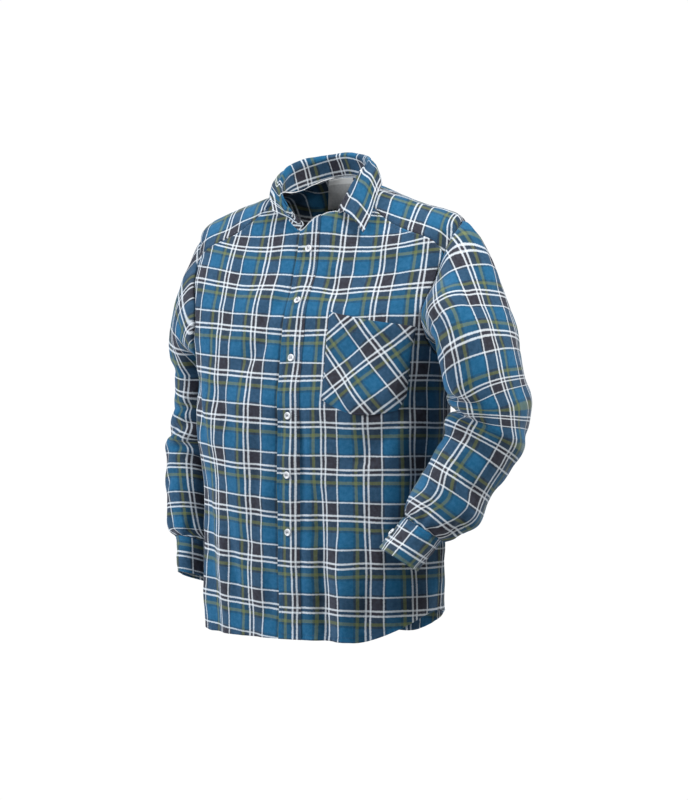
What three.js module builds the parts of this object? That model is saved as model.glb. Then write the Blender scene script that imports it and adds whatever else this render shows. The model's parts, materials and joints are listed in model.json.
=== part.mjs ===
// A long-sleeved flannel shirt with a buttoned front, filled out as if worn.
// Millimetres, +Z up, +X towards the wearer's left, the front faces -Y.
// The origin lies between the two highest points of the shoulders, where the wearer carries the shirt.

import * as THREE from "three";

// Driving dimensions
const CLOTH = 1.6;
const COLLAR_CLOTH = 2.4;
const PATCH_CLOTH = 1.2;
const SEAM_GAP = 0.3;
const PLACKET_WIDTH = 39;
const BUTTON_DIAMETER = 11.4;
const BUTTON_HEIGHTS = [-99, -182, -272, -362, -454, -543];
const CUFF_HEIGHT = 60;
const CUFF_OVERLAP = 22;
const HEM_RISE = 48;
const HEM_RISE_ANGLE = 43;
const LABEL = { width: 45, height: 48, cloth: 1.2, drop: 2 };
const LABEL_MIDDLE = -12;

// A table with named columns
function table(columns, rows) {
  const names = columns.split(" ");
  return rows.map((row) => Object.fromEntries(names.map((name, i) => [name, row[i]])));
}

// Horizontal rings of the body, from the hem to the neck: the heights of its sides, its front
// and its back, its half-width, its depth in front of and behind its middle, how square it is
// in front and behind, and how late the height leaves that of the side
const RINGS = table("v side front back half fore aft mid squareFront squareBack sag", [
  [0.0, -710, -710, -710, 205, 107, 108, 0, 2.6, 2.1, 2],
  [0.12, -620, -620, -620, 206, 109, 107, 0, 2.6, 2.1, 2],
  [0.31, -460, -460, -460, 213, 113, 101, 0, 2.7, 2.1, 2],
  [0.45, -350, -350, -350, 219, 115, 105, 0, 2.7, 2.1, 2],
  [0.56, -268, -272, -262, 221, 104, 113, 0, 2.7, 2.2, 2],
  [0.68, -185, -200, -160, 230, 92, 113, 3, 3.0, 2.6, 2],
  [0.82, -64, -140, -52, 238, 74, 90, 12, 2.3, 2.3, 1.8],
  [0.92, -23, -110, -8, 155, 64, 76, 12, 2.3, 2.3, 1.9],
  [1.0, 0, -74, 26, 80, 57, 62, 12, 2.2, 2.2, 2.5],
]);

// The armhole's edge: how far it lies in front of and behind the side, in degrees, at each row.
const ARMHOLE = table("v front back", [
  [0.555, 0, 0],
  [0.562, 8, 8],
  [0.58, 12, 12.5],
  [0.61, 15, 16],
  [0.645, 16.5, 18],
  [0.685, 15.5, 17],
  [0.725, 12, 14],
  [0.765, 8.5, 10.5],
  [0.8, 5, 6.5],
  [0.825, 0, 0],
]);
const ARMHOLE_CENTRE = 0.69;
const YOKE_ROW = 7;
const YOKE_V = ARMHOLE[YOKE_ROW].v;
const YOKE_NECK_ANGLE = 21;

// Long soft folds of the body. Each runs from one angle and row to another; depth is inwards.
const BODY_FOLDS = [
  { fromAngle: -64, fromV: 0.36, toAngle: -60, toV: -0.05, width: 7, depth: 9 },
  { fromAngle: -49, fromV: 0.3, toAngle: -50, toV: -0.05, width: 6, depth: -6 },
  { fromAngle: -160, fromV: 0.42, toAngle: -152, toV: -0.05, width: 6, depth: 8 },
  { fromAngle: -128, fromV: 0.3, toAngle: -124, toV: -0.05, width: 7, depth: 5 },
  { fromAngle: -30, fromV: 0.56, toAngle: -38, toV: 0.34, width: 6, depth: 5 },
  { fromAngle: 58, fromV: 0.66, toAngle: 50, toV: -0.05, width: 8, depth: 9 },
  { fromAngle: 122, fromV: 0.66, toAngle: 130, toV: -0.05, width: 8, depth: 9 },
  { fromAngle: 92, fromV: 0.36, toAngle: 96, toV: -0.05, width: 8, depth: -6 },
];

// Rings of the sleeves from the armhole to the cuff: centre, direction of the outer edge,
// half-width along it and half-width across it.
const SLEEVE_COLUMNS = "x y z outX outY outZ out across";
const LEFT_SLEEVE = table(SLEEVE_COLUMNS, [
  [232, 6, -166, 0.09, 0, 1, 102, 66],
  [250, 1, -176, 0.3, 0, 0.95, 90, 74],
  [269, -12, -194, 0.58, 0, 0.81, 72, 81],
  [283, -27, -230, 0.86, 0, 0.5, 57, 87],
  [292, -38, -268, 0.98, 0, 0.2, 53, 88],
  [302, -42, -308, 1, 0, 0.02, 55, 83],
  [312, -40, -342, 0.98, 0.05, -0.18, 60, 76],
  [311, -42, -374, 0.92, 0.12, -0.38, 62, 68],
  [299, -53, -410, 0.82, 0.25, -0.5, 58, 60],
  [279, -68, -447, 0.75, 0.36, -0.54, 53, 54],
  [257, -84, -487, 0.73, 0.42, -0.53, 48, 50],
  [239, -97, -519, 0.73, 0.42, -0.53, 43, 48],
  [231.5, -102, -531, 0.73, 0.42, -0.53, 33, 42],
]);
const RIGHT_SLEEVE = table(SLEEVE_COLUMNS, [
  [-232, 6, -166, -0.09, 0, 1, 102, 66],
  [-244, 14, -178, -0.25, 0, 0.97, 90, 72],
  [-260, 30, -198, -0.55, 0, 0.83, 62, 78],
  [-264, 48, -236, -0.85, 0, 0.5, 50, 80],
  [-265, 66, -275, -0.98, 0, 0.15, 45, 82],
  [-268, 76, -320, -1, 0, 0, 46, 81],
  [-279, 80, -362, -1, 0, 0, 47, 75],
  [-287, 80, -402, -1, 0, 0, 50, 67],
  [-289, 72, -445, -1, 0, 0, 50, 61],
  [-285, 58, -492, -1, 0, 0.02, 49, 56],
  [-279, 48, -537, -1, 0, 0.05, 46, 52],
  [-275, 43, -566, -1, 0, 0.08, 42, 49],
  [-272, 40, -577, -1, 0, 0.1, 32, 43],
]);
const CUFF_AXES = {
  left: new THREE.Vector3(-0.445, -0.5, -0.74).normalize(),
  right: new THREE.Vector3(0.12, -0.13, -0.98).normalize(),
};
const SLEEVE_STEPS = 22;
const SLEEVE_BLEND = 0.24;
const SLEEVE_HEAD_FULLNESS = 8;

// Folds of the sleeves: at is the share of the sleeve's length, angle is measured from the
// underarm edge through the front, lean slants the fold round the sleeve; depth is inwards.
const SLEEVE_FOLDS = {
  left: [
    { at: 0.56, angle: 0, lean: 0.02, width: 0.028, spread: 60, depth: 13 },
    { at: 0.5, angle: 40, lean: 0.05, width: 0.03, spread: 70, depth: -5 },
    { at: 0.62, angle: 60, lean: -0.04, width: 0.03, spread: 80, depth: -5 },
    { at: 0.66, angle: 330, lean: 0.03, width: 0.03, spread: 60, depth: 6 },
    { at: 0.44, angle: 330, lean: 0.04, width: 0.03, spread: 60, depth: 6 },
  ],
  right: [
    { at: 0.55, angle: 90, lean: 0.05, width: 0.03, spread: 60, depth: 8 },
    { at: 0.62, angle: 110, lean: 0.05, width: 0.03, spread: 60, depth: -6 },
    { at: 0.68, angle: 60, lean: -0.04, width: 0.03, spread: 60, depth: 7 },
    { at: 0.47, angle: 120, lean: 0.04, width: 0.03, spread: 60, depth: 5 },
  ],
};

// The collar from the left end round the back to the right end: the angle on the neck seam,
// the top of the fold, and the outer edge of the fall.
const COLLAR = table("seam foldX foldY foldZ edgeX edgeY edgeZ", [
  [-48, 45, -35, -36, 97, -47, -77],
  [-26, 62, -20, 4, 104, -30, -42],
  [-2, 71, 10, 37, 102, 3, 0],
  [34, 52, 45, 51, 69, 43, 22],
  [64, 28, 61, 59, 45, 81, 27],
  [90, 0, 66, 63, 0, 92, 27],
  [116, -30, 60, 60, -48, 84, 27],
  [146, -59, 43, 54, -80, 52, 22],
  [178, -77, 13, 35, -102, 8, 5],
  [204, -74, -12, 12, -93, -16, -9],
  [225, -42, -37, -33, -83, -29, -21],
  [250, -13, -45, -56, -74, -40, -34],
]);
const COLLAR_ROLL = 5.5;
const COLLAR_STATIONS = 29;
const COLLAR_SEAM_GAP = 3.5 * SEAM_GAP;

// The chest pocket's outline: its side edges as angles, and the heights of its top and bottom
const POCKET_SIDES = [
  { down: 0, left: -56.5, right: -18 },
  { down: 1, left: -62.4, right: -22 },
];
const POCKET_EDGES = [
  { across: 0, top: -201, bottom: -337 },
  { across: 0.3, top: -208, bottom: -353 },
  { across: 0.55, top: -215, bottom: -361 },
  { across: 0.9, top: -223, bottom: -354 },
  { across: 1, top: -226, bottom: -334 },
];

const radians = THREE.MathUtils.degToRad;
const { lerp, clamp, smoothstep } = THREE.MathUtils;

// A smooth curve through a table's column that never overshoots its values
function curve(rows, key, at = "v") {
  const xs = rows.map((row) => row[at]);
  const ys = rows.map((row) => row[key]);
  const slopes = [];
  for (let i = 1; i < xs.length; i++) slopes.push((ys[i] - ys[i - 1]) / (xs[i] - xs[i - 1]));
  const tangents = xs.map((_, i) => {
    if (i === 0) return slopes[0];
    if (i === xs.length - 1) return slopes[i - 1];
    const product = slopes[i - 1] * slopes[i];
    return product <= 0 ? 0 : (2 * product) / (slopes[i - 1] + slopes[i]);
  });
  return (x) => {
    let i = 0;
    while (i < xs.length - 2 && x > xs[i + 1]) i++;
    const step = xs[i + 1] - xs[i];
    const t = (x - xs[i]) / step;
    if (t < 0) return ys[0] + tangents[0] * (x - xs[0]);
    const blend = t * t * (3 - 2 * t);
    const start = t * (1 - t) * (1 - t) * step * tangents[i];
    const end = t * t * (t - 1) * step * tangents[i + 1];
    return lerp(ys[i], ys[i + 1], blend) + start + end;
  };
}

const ring = {};
for (const key of Object.keys(RINGS[0])) ring[key] = curve(RINGS, key);
const armhole = { front: curve(ARMHOLE, "front"), back: curve(ARMHOLE, "back") };

// The smooth body at an angle in degrees (0 the wearer's left, 90 the back, -90 the front)
function smoothBody(angle, v) {
  const cos = Math.cos(radians(angle));
  const sin = Math.sin(radians(angle));
  const inFront = sin < 0;
  const depth = inFront ? ring.fore(v) : ring.aft(v);
  const power = inFront ? ring.squareFront(v) : ring.squareBack(v);
  const reach = Math.abs(cos / ring.half(v)) ** power + Math.abs(sin / depth) ** power;
  const radius = reach ** (-1 / power);
  const share = Math.abs((radius * sin) / depth) ** ring.sag(v);
  const height = lerp(ring.side(v), inFront ? ring.front(v) : ring.back(v), share);
  return new THREE.Vector3(radius * cos, ring.mid(v) + radius * sin, height);
}

function bodyNormal(angle, v) {
  const around = smoothBody(angle + 0.5, v).sub(smoothBody(angle - 0.5, v));
  const up = smoothBody(angle, Math.min(v + 0.004, 1)).sub(smoothBody(angle, v - 0.004));
  return around.cross(up).normalize();
}

function angleBetween(a, b) {
  return Math.abs(((((a - b) % 360) + 540) % 360) - 180);
}

function foldDepth(angle, v) {
  let depth = 0;
  for (const fold of BODY_FOLDS) {
    const along = (fold.fromV - v) / (fold.fromV - fold.toV);
    if (along <= 0 || along >= 1) continue;
    const across = angleBetween(angle, lerp(fold.fromAngle, fold.toAngle, along)) / fold.width;
    depth += fold.depth * smoothstep(along, 0, 0.5) * Math.exp(-across * across);
  }
  return depth;
}

// A point of the body's outer face with its folds, moved out by offset
function body(angle, v, offset = 0) {
  return smoothBody(angle, v).addScaledVector(bodyNormal(angle, v), offset - foldDepth(angle, v));
}

// The angle at which the body is a given width to the side of the centre front
function frontAngle(x, v) {
  return -90 + THREE.MathUtils.radToDeg(Math.atan2(x, ring.fore(v)));
}

// The side seams: the right one swings back towards the hem
function leftSeam() {
  return 0;
}

function rightSeam(t) {
  return -180 - 20 * clamp(1 - t / 0.5, 0, 1);
}

// The row of the body for a share t of a panel's height: the hem rises towards the side seams
function hemRow(angle, t) {
  const away = Math.min(angleBetween(angle, leftSeam()), angleBetween(angle, rightSeam(0)));
  const rise = Math.cos(radians(90) * Math.min(1, away / HEM_RISE_ANGLE)) ** 2;
  const perMillimetre = RINGS[1].v / (RINGS[1].front - RINGS[0].front);
  return t + HEM_RISE * perMillimetre * rise * Math.max(0, 1 - t / 0.3);
}

// Half a seam's gap as an angle
function gapAngle(angle, v) {
  const perDegree = smoothBody(angle + 0.5, v).distanceTo(smoothBody(angle - 0.5, v));
  return SEAM_GAP / 2 / perDegree;
}

// A closed wall between two grids of points. A looped grid joins its last column to its first.
function wallGeometry(outer, inner, looped = false) {
  const rows = outer.length;
  const columns = outer[0].length;
  const points = [...outer.flat(), ...inner.flat()];
  const triangles = [];
  const outside = (i, j) => i * columns + (j % columns);
  const inside = (i, j) => rows * columns + outside(i, j);
  const quad = (a, b, c, d) => triangles.push(a, b, c, a, c, d);
  const lastColumn = looped ? columns : columns - 1;
  for (let i = 0; i < rows - 1; i++) {
    for (let j = 0; j < lastColumn; j++) {
      quad(outside(i, j), outside(i, j + 1), outside(i + 1, j + 1), outside(i + 1, j));
      quad(inside(i, j), inside(i + 1, j), inside(i + 1, j + 1), inside(i, j + 1));
    }
  }
  for (let j = 0; j < lastColumn; j++) {
    quad(outside(0, j), inside(0, j), inside(0, j + 1), outside(0, j + 1));
    const top = rows - 1;
    quad(outside(top, j), outside(top, j + 1), inside(top, j + 1), inside(top, j));
  }
  if (!looped) {
    for (let i = 0; i < rows - 1; i++) {
      quad(outside(i, 0), outside(i + 1, 0), inside(i + 1, 0), inside(i, 0));
      const end = columns - 1;
      quad(outside(i, end), inside(i, end), inside(i + 1, end), outside(i + 1, end));
    }
  }
  let volume = 0;
  for (let k = 0; k < triangles.length; k += 3) {
    const [a, b, c] = [0, 1, 2].map((n) => points[triangles[k + n]]);
    volume += a.dot(b.clone().cross(c));
  }
  if (volume < 0) triangles.reverse();
  const geometry = new THREE.BufferGeometry();
  const coordinates = points.flatMap((point) => [...point]);
  geometry.setAttribute("position", new THREE.Float32BufferAttribute(coordinates, 3));
  geometry.setIndex(triangles);
  geometry.computeVertexNormals();
  return geometry;
}

// A grid of points moved along its own normals; along a looped grid the columns close
function offsetGrid(grid, distance, looped = false) {
  const rows = grid.length;
  const columns = grid[0].length;
  const column = (j) => (looped ? (j + columns) % columns : clamp(j, 0, columns - 1));
  const row = (i) => clamp(i, 0, rows - 1);
  return grid.map((line, i) =>
    line.map((point, j) => {
      const along = grid[row(i + 1)][j].clone().sub(grid[row(i - 1)][j]);
      const around = grid[i][column(j + 1)].clone().sub(grid[i][column(j - 1)]);
      return point.clone().addScaledVector(along.cross(around).normalize(), distance);
    }),
  );
}

const FLANNEL = { color: 0x2c5a82, roughness: 0.95, metalness: 0 };
const BUTTON = { color: 0xe6e8ea, roughness: 0.35, metalness: 0 };
const WOVEN_LABEL = { color: 0xc4c4c2, roughness: 0.8, metalness: 0 };

const shirt = new THREE.Group();

function addMesh(name, geometry, finish) {
  const mesh = new THREE.Mesh(geometry, new THREE.MeshStandardMaterial(finish));
  mesh.name = name;
  shirt.add(mesh);
  return mesh;
}

// Rows that every body panel shares, so that neighbours meet point to point
const LOWER_ROWS = [0, 0.06, 0.12, 0.18, 0.24, 0.31, 0.38, 0.45, 0.51];
const ARMHOLE_ROWS = ARMHOLE.slice(0, YOKE_ROW + 1).map((row) => row.v);
const YOKE_SHARES = [0, 0.15, 0.32, 0.5, 0.68, 0.84, 1];
const FRONT_TOP_ROWS = YOKE_SHARES.slice(1).map((share) => lerp(YOKE_V, 1, share));

function bodyPanel(name, rows, angles, offset = () => 0) {
  const outer = [];
  const inner = [];
  for (const t of rows) {
    const line = angles(t).map((angle) => [angle, hemRow(angle, t)]);
    outer.push(line.map(([angle, v]) => body(angle, v, offset(angle, v))));
    inner.push(line.map(([angle, v]) => body(angle, v, offset(angle, v) - CLOTH)));
  }
  addMesh(name, wallGeometry(outer, inner), FLANNEL);
}

function spread(from, to, count) {
  return Array.from({ length: count }, (_, i) => lerp(from, to, i / (count - 1)));
}

// How far a front's outer edge lies from the side line: the side seam, armhole, then yoke seam
function frontEdge(t) {
  if (t <= ARMHOLE[0].v) return 0;
  if (t <= YOKE_V) return armhole.front(t);
  const share = (t - YOKE_V) / (1 - YOKE_V);
  return lerp(ARMHOLE[YOKE_ROW].front, YOKE_NECK_ANGLE, share);
}

const FRONT_ROWS = [...LOWER_ROWS, ...ARMHOLE_ROWS, ...FRONT_TOP_ROWS];
const FRONT_COLUMNS = 13;
const halfPlacket = PLACKET_WIDTH / 2;

bodyPanel("front_left", FRONT_ROWS, (t) => {
  const edge = leftSeam() - frontEdge(t);
  const start = frontAngle(halfPlacket, t);
  const end = edge - gapAngle(edge, t);
  return [frontAngle(-halfPlacket, t), frontAngle(0, t), ...spread(start, end, FRONT_COLUMNS)];
});

// The right front passes behind the left one at the buttons
const UNDERLAP_DEPTH = CLOTH + 2 * SEAM_GAP;
const UNDERLAP_START = -halfPlacket - 34;
const UNDERLAP_FULL = -halfPlacket - 3;

bodyPanel(
  "front_right",
  FRONT_ROWS,
  (t) => {
    const edge = rightSeam(t) + frontEdge(t);
    const start = frontAngle(UNDERLAP_START, t);
    const end = edge + gapAngle(edge, t);
    const under = [halfPlacket, 0, UNDERLAP_FULL].map((x) => frontAngle(x, t));
    return [...under, ...spread(start, end, FRONT_COLUMNS - 1)];
  },
  (angle, v) => {
    const x = ring.fore(v) * Math.tan(radians(Math.max(angle, -179) + 90));
    return -UNDERLAP_DEPTH * smoothstep(x, UNDERLAP_START, UNDERLAP_FULL);
  },
);

// The placket lies on the left front and is made from its points
const placketAngles = (t) => [-halfPlacket, 0, halfPlacket].map((x) => frontAngle(x, t));
const placketRows = (offset) =>
  FRONT_ROWS.map((t) => placketAngles(t).map((angle) => body(angle, hemRow(angle, t), offset)));
addMesh(
  "placket_front",
  wallGeometry(placketRows(SEAM_GAP + PATCH_CLOTH), placketRows(SEAM_GAP)),
  FLANNEL,
);

const BACK_COLUMNS = 17;
bodyPanel("back", [...LOWER_ROWS, ...ARMHOLE_ROWS], (t) => {
  const inset = t <= ARMHOLE[0].v ? 0 : armhole.back(t);
  const start = leftSeam() + inset;
  const end = rightSeam(t) + 360 - inset;
  return spread(start + gapAngle(start, t), end - gapAngle(end, t), BACK_COLUMNS);
});

// The yoke runs over both shoulders and behind the neck. Its lower edge follows the top of
// each armhole, and its rows slant so that its front seams run from the armhole to the neck.
const shoulderAngles = [
  -ARMHOLE[YOKE_ROW].front,
  -ARMHOLE[YOKE_ROW + 1].front,
  0,
  ARMHOLE[YOKE_ROW + 1].back,
  ARMHOLE[YOKE_ROW].back,
];
const yokeLowAngles = [
  ...shoulderAngles,
  ...spread(ARMHOLE[YOKE_ROW].back, 180 - ARMHOLE[YOKE_ROW].back, BACK_COLUMNS).slice(1, -1),
  ...shoulderAngles.map((angle) => 180 - angle).reverse(),
];

// The row of the yoke's lower edge, which follows the armhole over each shoulder
function yokeLowRow(column) {
  const fromEnd = Math.min(column, yokeLowAngles.length - 1 - column);
  if (fromEnd >= shoulderAngles.length) return YOKE_V;
  const top = (shoulderAngles.length - 1) / 2;
  return ARMHOLE[YOKE_ROW + top - Math.abs(fromEnd - top)].v;
}

function yokeTopAngle(angle) {
  const first = yokeLowAngles[0];
  return lerp(-YOKE_NECK_ANGLE, 180 + YOKE_NECK_ANGLE, (angle - first) / (180 - 2 * first));
}

// The body is about 700 mm long, so this share of it is one seam's gap
const YOKE_SEAM_LIFT = SEAM_GAP / 700;

function yokePoint(column, share, offset) {
  const low = yokeLowAngles[column];
  const angle = lerp(low, yokeTopAngle(low), share);
  const lift = share === 0 ? YOKE_SEAM_LIFT : 0;
  const v = lerp(yokeLowRow(column), 1, share) + lift;
  const isFirst = column === 0;
  const isLast = column === yokeLowAngles.length - 1;
  const nudge = (isFirst ? 1 : isLast ? -1 : 0) * gapAngle(angle, v);
  return body(angle + nudge, v, offset);
}

const yokeRow = (share, offset) => yokeLowAngles.map((_, column) => yokePoint(column, share, offset));
const yokeRows = (offset) => YOKE_SHARES.map((share) => yokeRow(share, offset));
addMesh("yoke", wallGeometry(yokeRows(0), yokeRows(-CLOTH)), FLANNEL);

// The armhole's edge as a loop from the underarm through the front and over the shoulder,
// drawn in by the seam's gap
function armholeLoop(side) {
  const frontHalf = ARMHOLE.map((row) => [-row.front, row.v]);
  const backHalf = ARMHOLE.slice(1, -1).reverse().map((row) => [row.back, row.v]);
  const place = (angle) => (side > 0 ? angle : 180 - angle);
  const centre = body(place(0), ARMHOLE_CENTRE);
  return [...frontHalf, ...backHalf].map(([angle, v]) => {
    const edge = body(place(angle), v);
    const inwards = (1.5 * SEAM_GAP) / edge.distanceTo(centre);
    const point = body(place(lerp(angle, 0, inwards)), lerp(v, ARMHOLE_CENTRE, inwards));
    return { point, normal: bodyNormal(place(angle), v) };
  });
}

// A table of sleeve rings as smooth curves of the share of its length
function sleeveCurves(rings) {
  let length = 0;
  const rows = rings.map((row, i) => {
    if (i > 0) {
      const last = rings[i - 1];
      length += Math.hypot(row.x - last.x, row.y - last.y, row.z - last.z);
    }
    return { ...row, length };
  });
  const shares = rows.map((row) => ({ ...row, v: row.length / length }));
  const curves = {};
  for (const key of Object.keys(rings[0])) curves[key] = curve(shares, key);
  return curves;
}

function sleeveFrame(curves, share) {
  const at = (s) => new THREE.Vector3(curves.x(s), curves.y(s), curves.z(s));
  const tangent = at(Math.min(share + 0.02, 1)).sub(at(Math.max(share - 0.02, 0))).normalize();
  const out = new THREE.Vector3(curves.outX(share), curves.outY(share), curves.outZ(share)).normalize();
  return { centre: at(share), tangent, out };
}

function sleeveRing(curves, folds, share, count, side) {
  const { centre, tangent, out } = sleeveFrame(curves, share);
  const across = out.clone().cross(tangent).normalize().multiplyScalar(-side);
  return Array.from({ length: count }, (_, j) => {
    const turn = (360 * j) / count;
    let sink = 0;
    for (const fold of folds) {
      const away = angleBetween(turn, fold.angle) / fold.spread;
      const signed = Math.sin(radians(turn - fold.angle));
      const along = (share - fold.at - fold.lean * signed) / fold.width;
      sink += fold.depth * Math.exp(-away * away - along * along);
    }
    const half = curves.out(share) - sink;
    const width = curves.across(share) - sink;
    return centre
      .clone()
      .addScaledVector(out, -half * Math.cos(radians(turn)))
      .addScaledVector(across, width * Math.sin(radians(turn)));
  });
}

function addSleeve(name, rings, folds, side) {
  const loop = armholeLoop(side);
  const curves = sleeveCurves(rings);
  const outer = [];
  for (let i = 0; i <= SLEEVE_STEPS; i++) {
    const share = (i / SLEEVE_STEPS) ** 1.15;
    const tube = sleeveRing(curves, folds, share, loop.length, side);
    const blend = smoothstep(share, 0, SLEEVE_BLEND);
    const fullness = 4 * blend * (1 - blend) * SLEEVE_HEAD_FULLNESS;
    const ease = ({ point, normal }, end) => point.clone().lerp(end, blend).addScaledVector(normal, fullness);
    outer.push(tube.map((point, j) => ease(loop[j], point)));
  }
  addMesh(name, wallGeometry(outer, offsetGrid(outer, side * -CLOTH, true), true), FLANNEL);
}

addSleeve("sleeve_left", LEFT_SLEEVE, SLEEVE_FOLDS.left, 1);
addSleeve("sleeve_right", RIGHT_SLEEVE, SLEEVE_FOLDS.right, -1);

// A cuff is a band round the wrist whose one end lies over the other
const CUFF_POINTS = 28;
const CUFF_LIFT = CLOTH + 1;
const CUFF_START = 150;
const CUFF_LIFT_FROM = 325;

function cuffShape(rings, side, axis) {
  const { centre, out, tangent } = sleeveFrame(sleeveCurves(rings), 1);
  const across = out.clone().cross(tangent).normalize().multiplyScalar(-side);
  const last = rings[rings.length - 1];
  const overlap = THREE.MathUtils.radToDeg(CUFF_OVERLAP / last.out);
  return { centre, out, across, axis, half: last.out, width: last.across, overlap };
}

function cuffPoint(cuff, turn, down, offset) {
  const angle = radians(turn + CUFF_START);
  const radial = offset + smoothstep(turn, CUFF_LIFT_FROM, 360) * CUFF_LIFT;
  return cuff.centre
    .clone()
    .addScaledVector(cuff.out, (cuff.half + radial) * Math.cos(angle))
    .addScaledVector(cuff.across, (cuff.width + radial) * Math.sin(angle))
    .addScaledVector(cuff.axis, SEAM_GAP + down);
}

function addCuff(name, cuff) {
  const turns = spread(0, 360 + cuff.overlap, CUFF_POINTS);
  const downs = [0, CUFF_HEIGHT / 2, CUFF_HEIGHT];
  const row = (down, offset) => turns.map((turn) => cuffPoint(cuff, turn, down, offset));
  const rows = (offset) => downs.map((down) => row(down, offset));
  addMesh(name, wallGeometry(rows(0), rows(-CLOTH)), FLANNEL);
}

const leftCuff = cuffShape(LEFT_SLEEVE, 1, CUFF_AXES.left);
const rightCuff = cuffShape(RIGHT_SLEEVE, -1, CUFF_AXES.right);
addCuff("cuff_left", leftCuff);
addCuff("cuff_right", rightCuff);

// The collar rises from the neck seam as a stand, rolls over at its fold and falls outwards
const collarStations = COLLAR.map((row, i) => ({ ...row, v: i / (COLLAR.length - 1) }));
const collarCurves = {};
for (const key of Object.keys(COLLAR[0])) collarCurves[key] = curve(collarStations, key);

function collarLine(t) {
  const seam = body(collarCurves.seam(t), 1);
  const fold = new THREE.Vector3(collarCurves.foldX(t), collarCurves.foldY(t), collarCurves.foldZ(t));
  const edge = new THREE.Vector3(collarCurves.edgeX(t), collarCurves.edgeY(t), collarCurves.edgeZ(t));
  const outwards = edge.clone().sub(fold).setZ(0).normalize();
  const rolled = fold.clone().addScaledVector(outwards, COLLAR_ROLL);
  rolled.z -= COLLAR_ROLL / 2;
  const inside = fold.clone();
  inside.z -= COLLAR_ROLL / 2;
  const top = fold.clone().lerp(rolled, 0.5);
  top.z = fold.z + 1;
  const start = seam.clone().add(fold.clone().sub(seam).setLength(COLLAR_SEAM_GAP));
  const bulged = (share, bulge) => {
    const point = rolled.clone().lerp(edge, share).addScaledVector(outwards, bulge);
    point.z += bulge;
    return point;
  };
  const middle = start.clone().lerp(inside, 0.5);
  return [start, middle, inside, top, rolled, bulged(0.35, 3), bulged(0.7, 2), edge];
}

const collarLines = spread(0, 1, COLLAR_STATIONS).map(collarLine);
const collarGrid = collarLines[0].map((_, row) => collarLines.map((line) => line[row]));
addMesh(
  "collar",
  wallGeometry(offsetGrid(collarGrid, COLLAR_CLOTH / 2), offsetGrid(collarGrid, -COLLAR_CLOTH / 2)),
  FLANNEL,
);

// The row at which the body reaches a height, found by halving
function rowAtHeight(angle, height) {
  let low = 0;
  let high = 1;
  for (let i = 0; i < 30; i++) {
    const middle = (low + high) / 2;
    if (smoothBody(angle, middle).z < height) low = middle;
    else high = middle;
  }
  return low;
}

// The pocket lies on the left front and is made from its points
const POCKET_GAP = 3 * SEAM_GAP;
const pocketTop = curve(POCKET_EDGES, "top", "across");
const pocketBottom = curve(POCKET_EDGES, "bottom", "across");
const pocketAcross = [0, 0.15, 0.3, 0.42, 0.55, 0.7, 0.82, 0.9, 1];

function pocketPoint(across, down, offset) {
  const [top, bottom] = POCKET_SIDES;
  const angle = lerp(lerp(top.left, bottom.left, down), lerp(top.right, bottom.right, down), across);
  const height = lerp(pocketTop(across), pocketBottom(across), down);
  return body(angle, rowAtHeight(angle, height), offset);
}

const pocketRows = (offset) =>
  spread(0, 1, 8).map((down) => pocketAcross.map((across) => pocketPoint(across, down, offset)));
addMesh("pocket", wallGeometry(pocketRows(POCKET_GAP + PATCH_CLOTH), pocketRows(POCKET_GAP)), FLANNEL);

// The label hangs below the collar seam, inside the back neck
const labelStart = ring.aft(1) - CLOTH;
const labelAngle = (x) => 90 - THREE.MathUtils.radToDeg(Math.atan2(x, labelStart));
const labelAngles = spread(
  labelAngle(LABEL_MIDDLE + LABEL.width / 2),
  labelAngle(LABEL_MIDDLE - LABEL.width / 2),
  5,
);
const labelTop = smoothBody(90, 1).z - LABEL.drop;
const labelRows = (offset) =>
  spread(0, 1, 5).map((down) =>
    labelAngles.map((angle) => body(angle, rowAtHeight(90, labelTop - down * LABEL.height), offset)),
  );
const labelFace = -CLOTH - 5 * SEAM_GAP;
const labelWall = wallGeometry(labelRows(labelFace), labelRows(labelFace - LABEL.cloth));
addMesh("neck_label", labelWall, WOVEN_LABEL);

// Buttons are discs with a raised rim, seated flat on the cloth below them
const buttonRadius = BUTTON_DIAMETER / 2;
const BUTTON_PROFILE = [
  [0, 0],
  [buttonRadius - 0.5, 0],
  [buttonRadius, 0.7],
  [buttonRadius - 0.2, 2.1],
  [buttonRadius - 1, 2.5],
  [buttonRadius - 2, 1.8],
  [0, 1.8],
].map(([x, y]) => new THREE.Vector2(x, y));

function addButton(name, seat, normal) {
  const mesh = addMesh(name, new THREE.LatheGeometry(BUTTON_PROFILE, 14), BUTTON);
  mesh.quaternion.setFromUnitVectors(new THREE.Vector3(0, 1, 0), normal);
  mesh.position.copy(seat).addScaledVector(normal, SEAM_GAP);
}

const placketMiddle = placketRows(SEAM_GAP + PATCH_CLOTH).map((line) => line[1]);
BUTTON_HEIGHTS.forEach((height, i) => {
  const above = placketMiddle.findIndex((point) => point.z > height);
  const [low, high] = [placketMiddle[above - 1], placketMiddle[above]];
  const seat = low.clone().lerp(high, (height - low.z) / (high.z - low.z));
  const normal = new THREE.Vector3(1, 0, 0).cross(high.clone().sub(low)).normalize();
  addButton(`button_front_${i + 1}`, seat, normal);
});

function addCuffButton(name, cuff) {
  const turn = 360 + cuff.overlap / 2;
  const seat = cuffPoint(cuff, turn, CUFF_HEIGHT / 2, 0);
  const along = cuffPoint(cuff, turn + 3, CUFF_HEIGHT / 2, 0).sub(seat);
  const normal = along.cross(cuff.axis).normalize();
  if (normal.dot(seat.clone().sub(cuff.centre)) < 0) normal.negate();
  addButton(name, seat, normal);
}

addCuffButton("cuff_button_left", leftCuff);
addCuffButton("cuff_button_right", rightCuff);

export default shirt;
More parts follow.
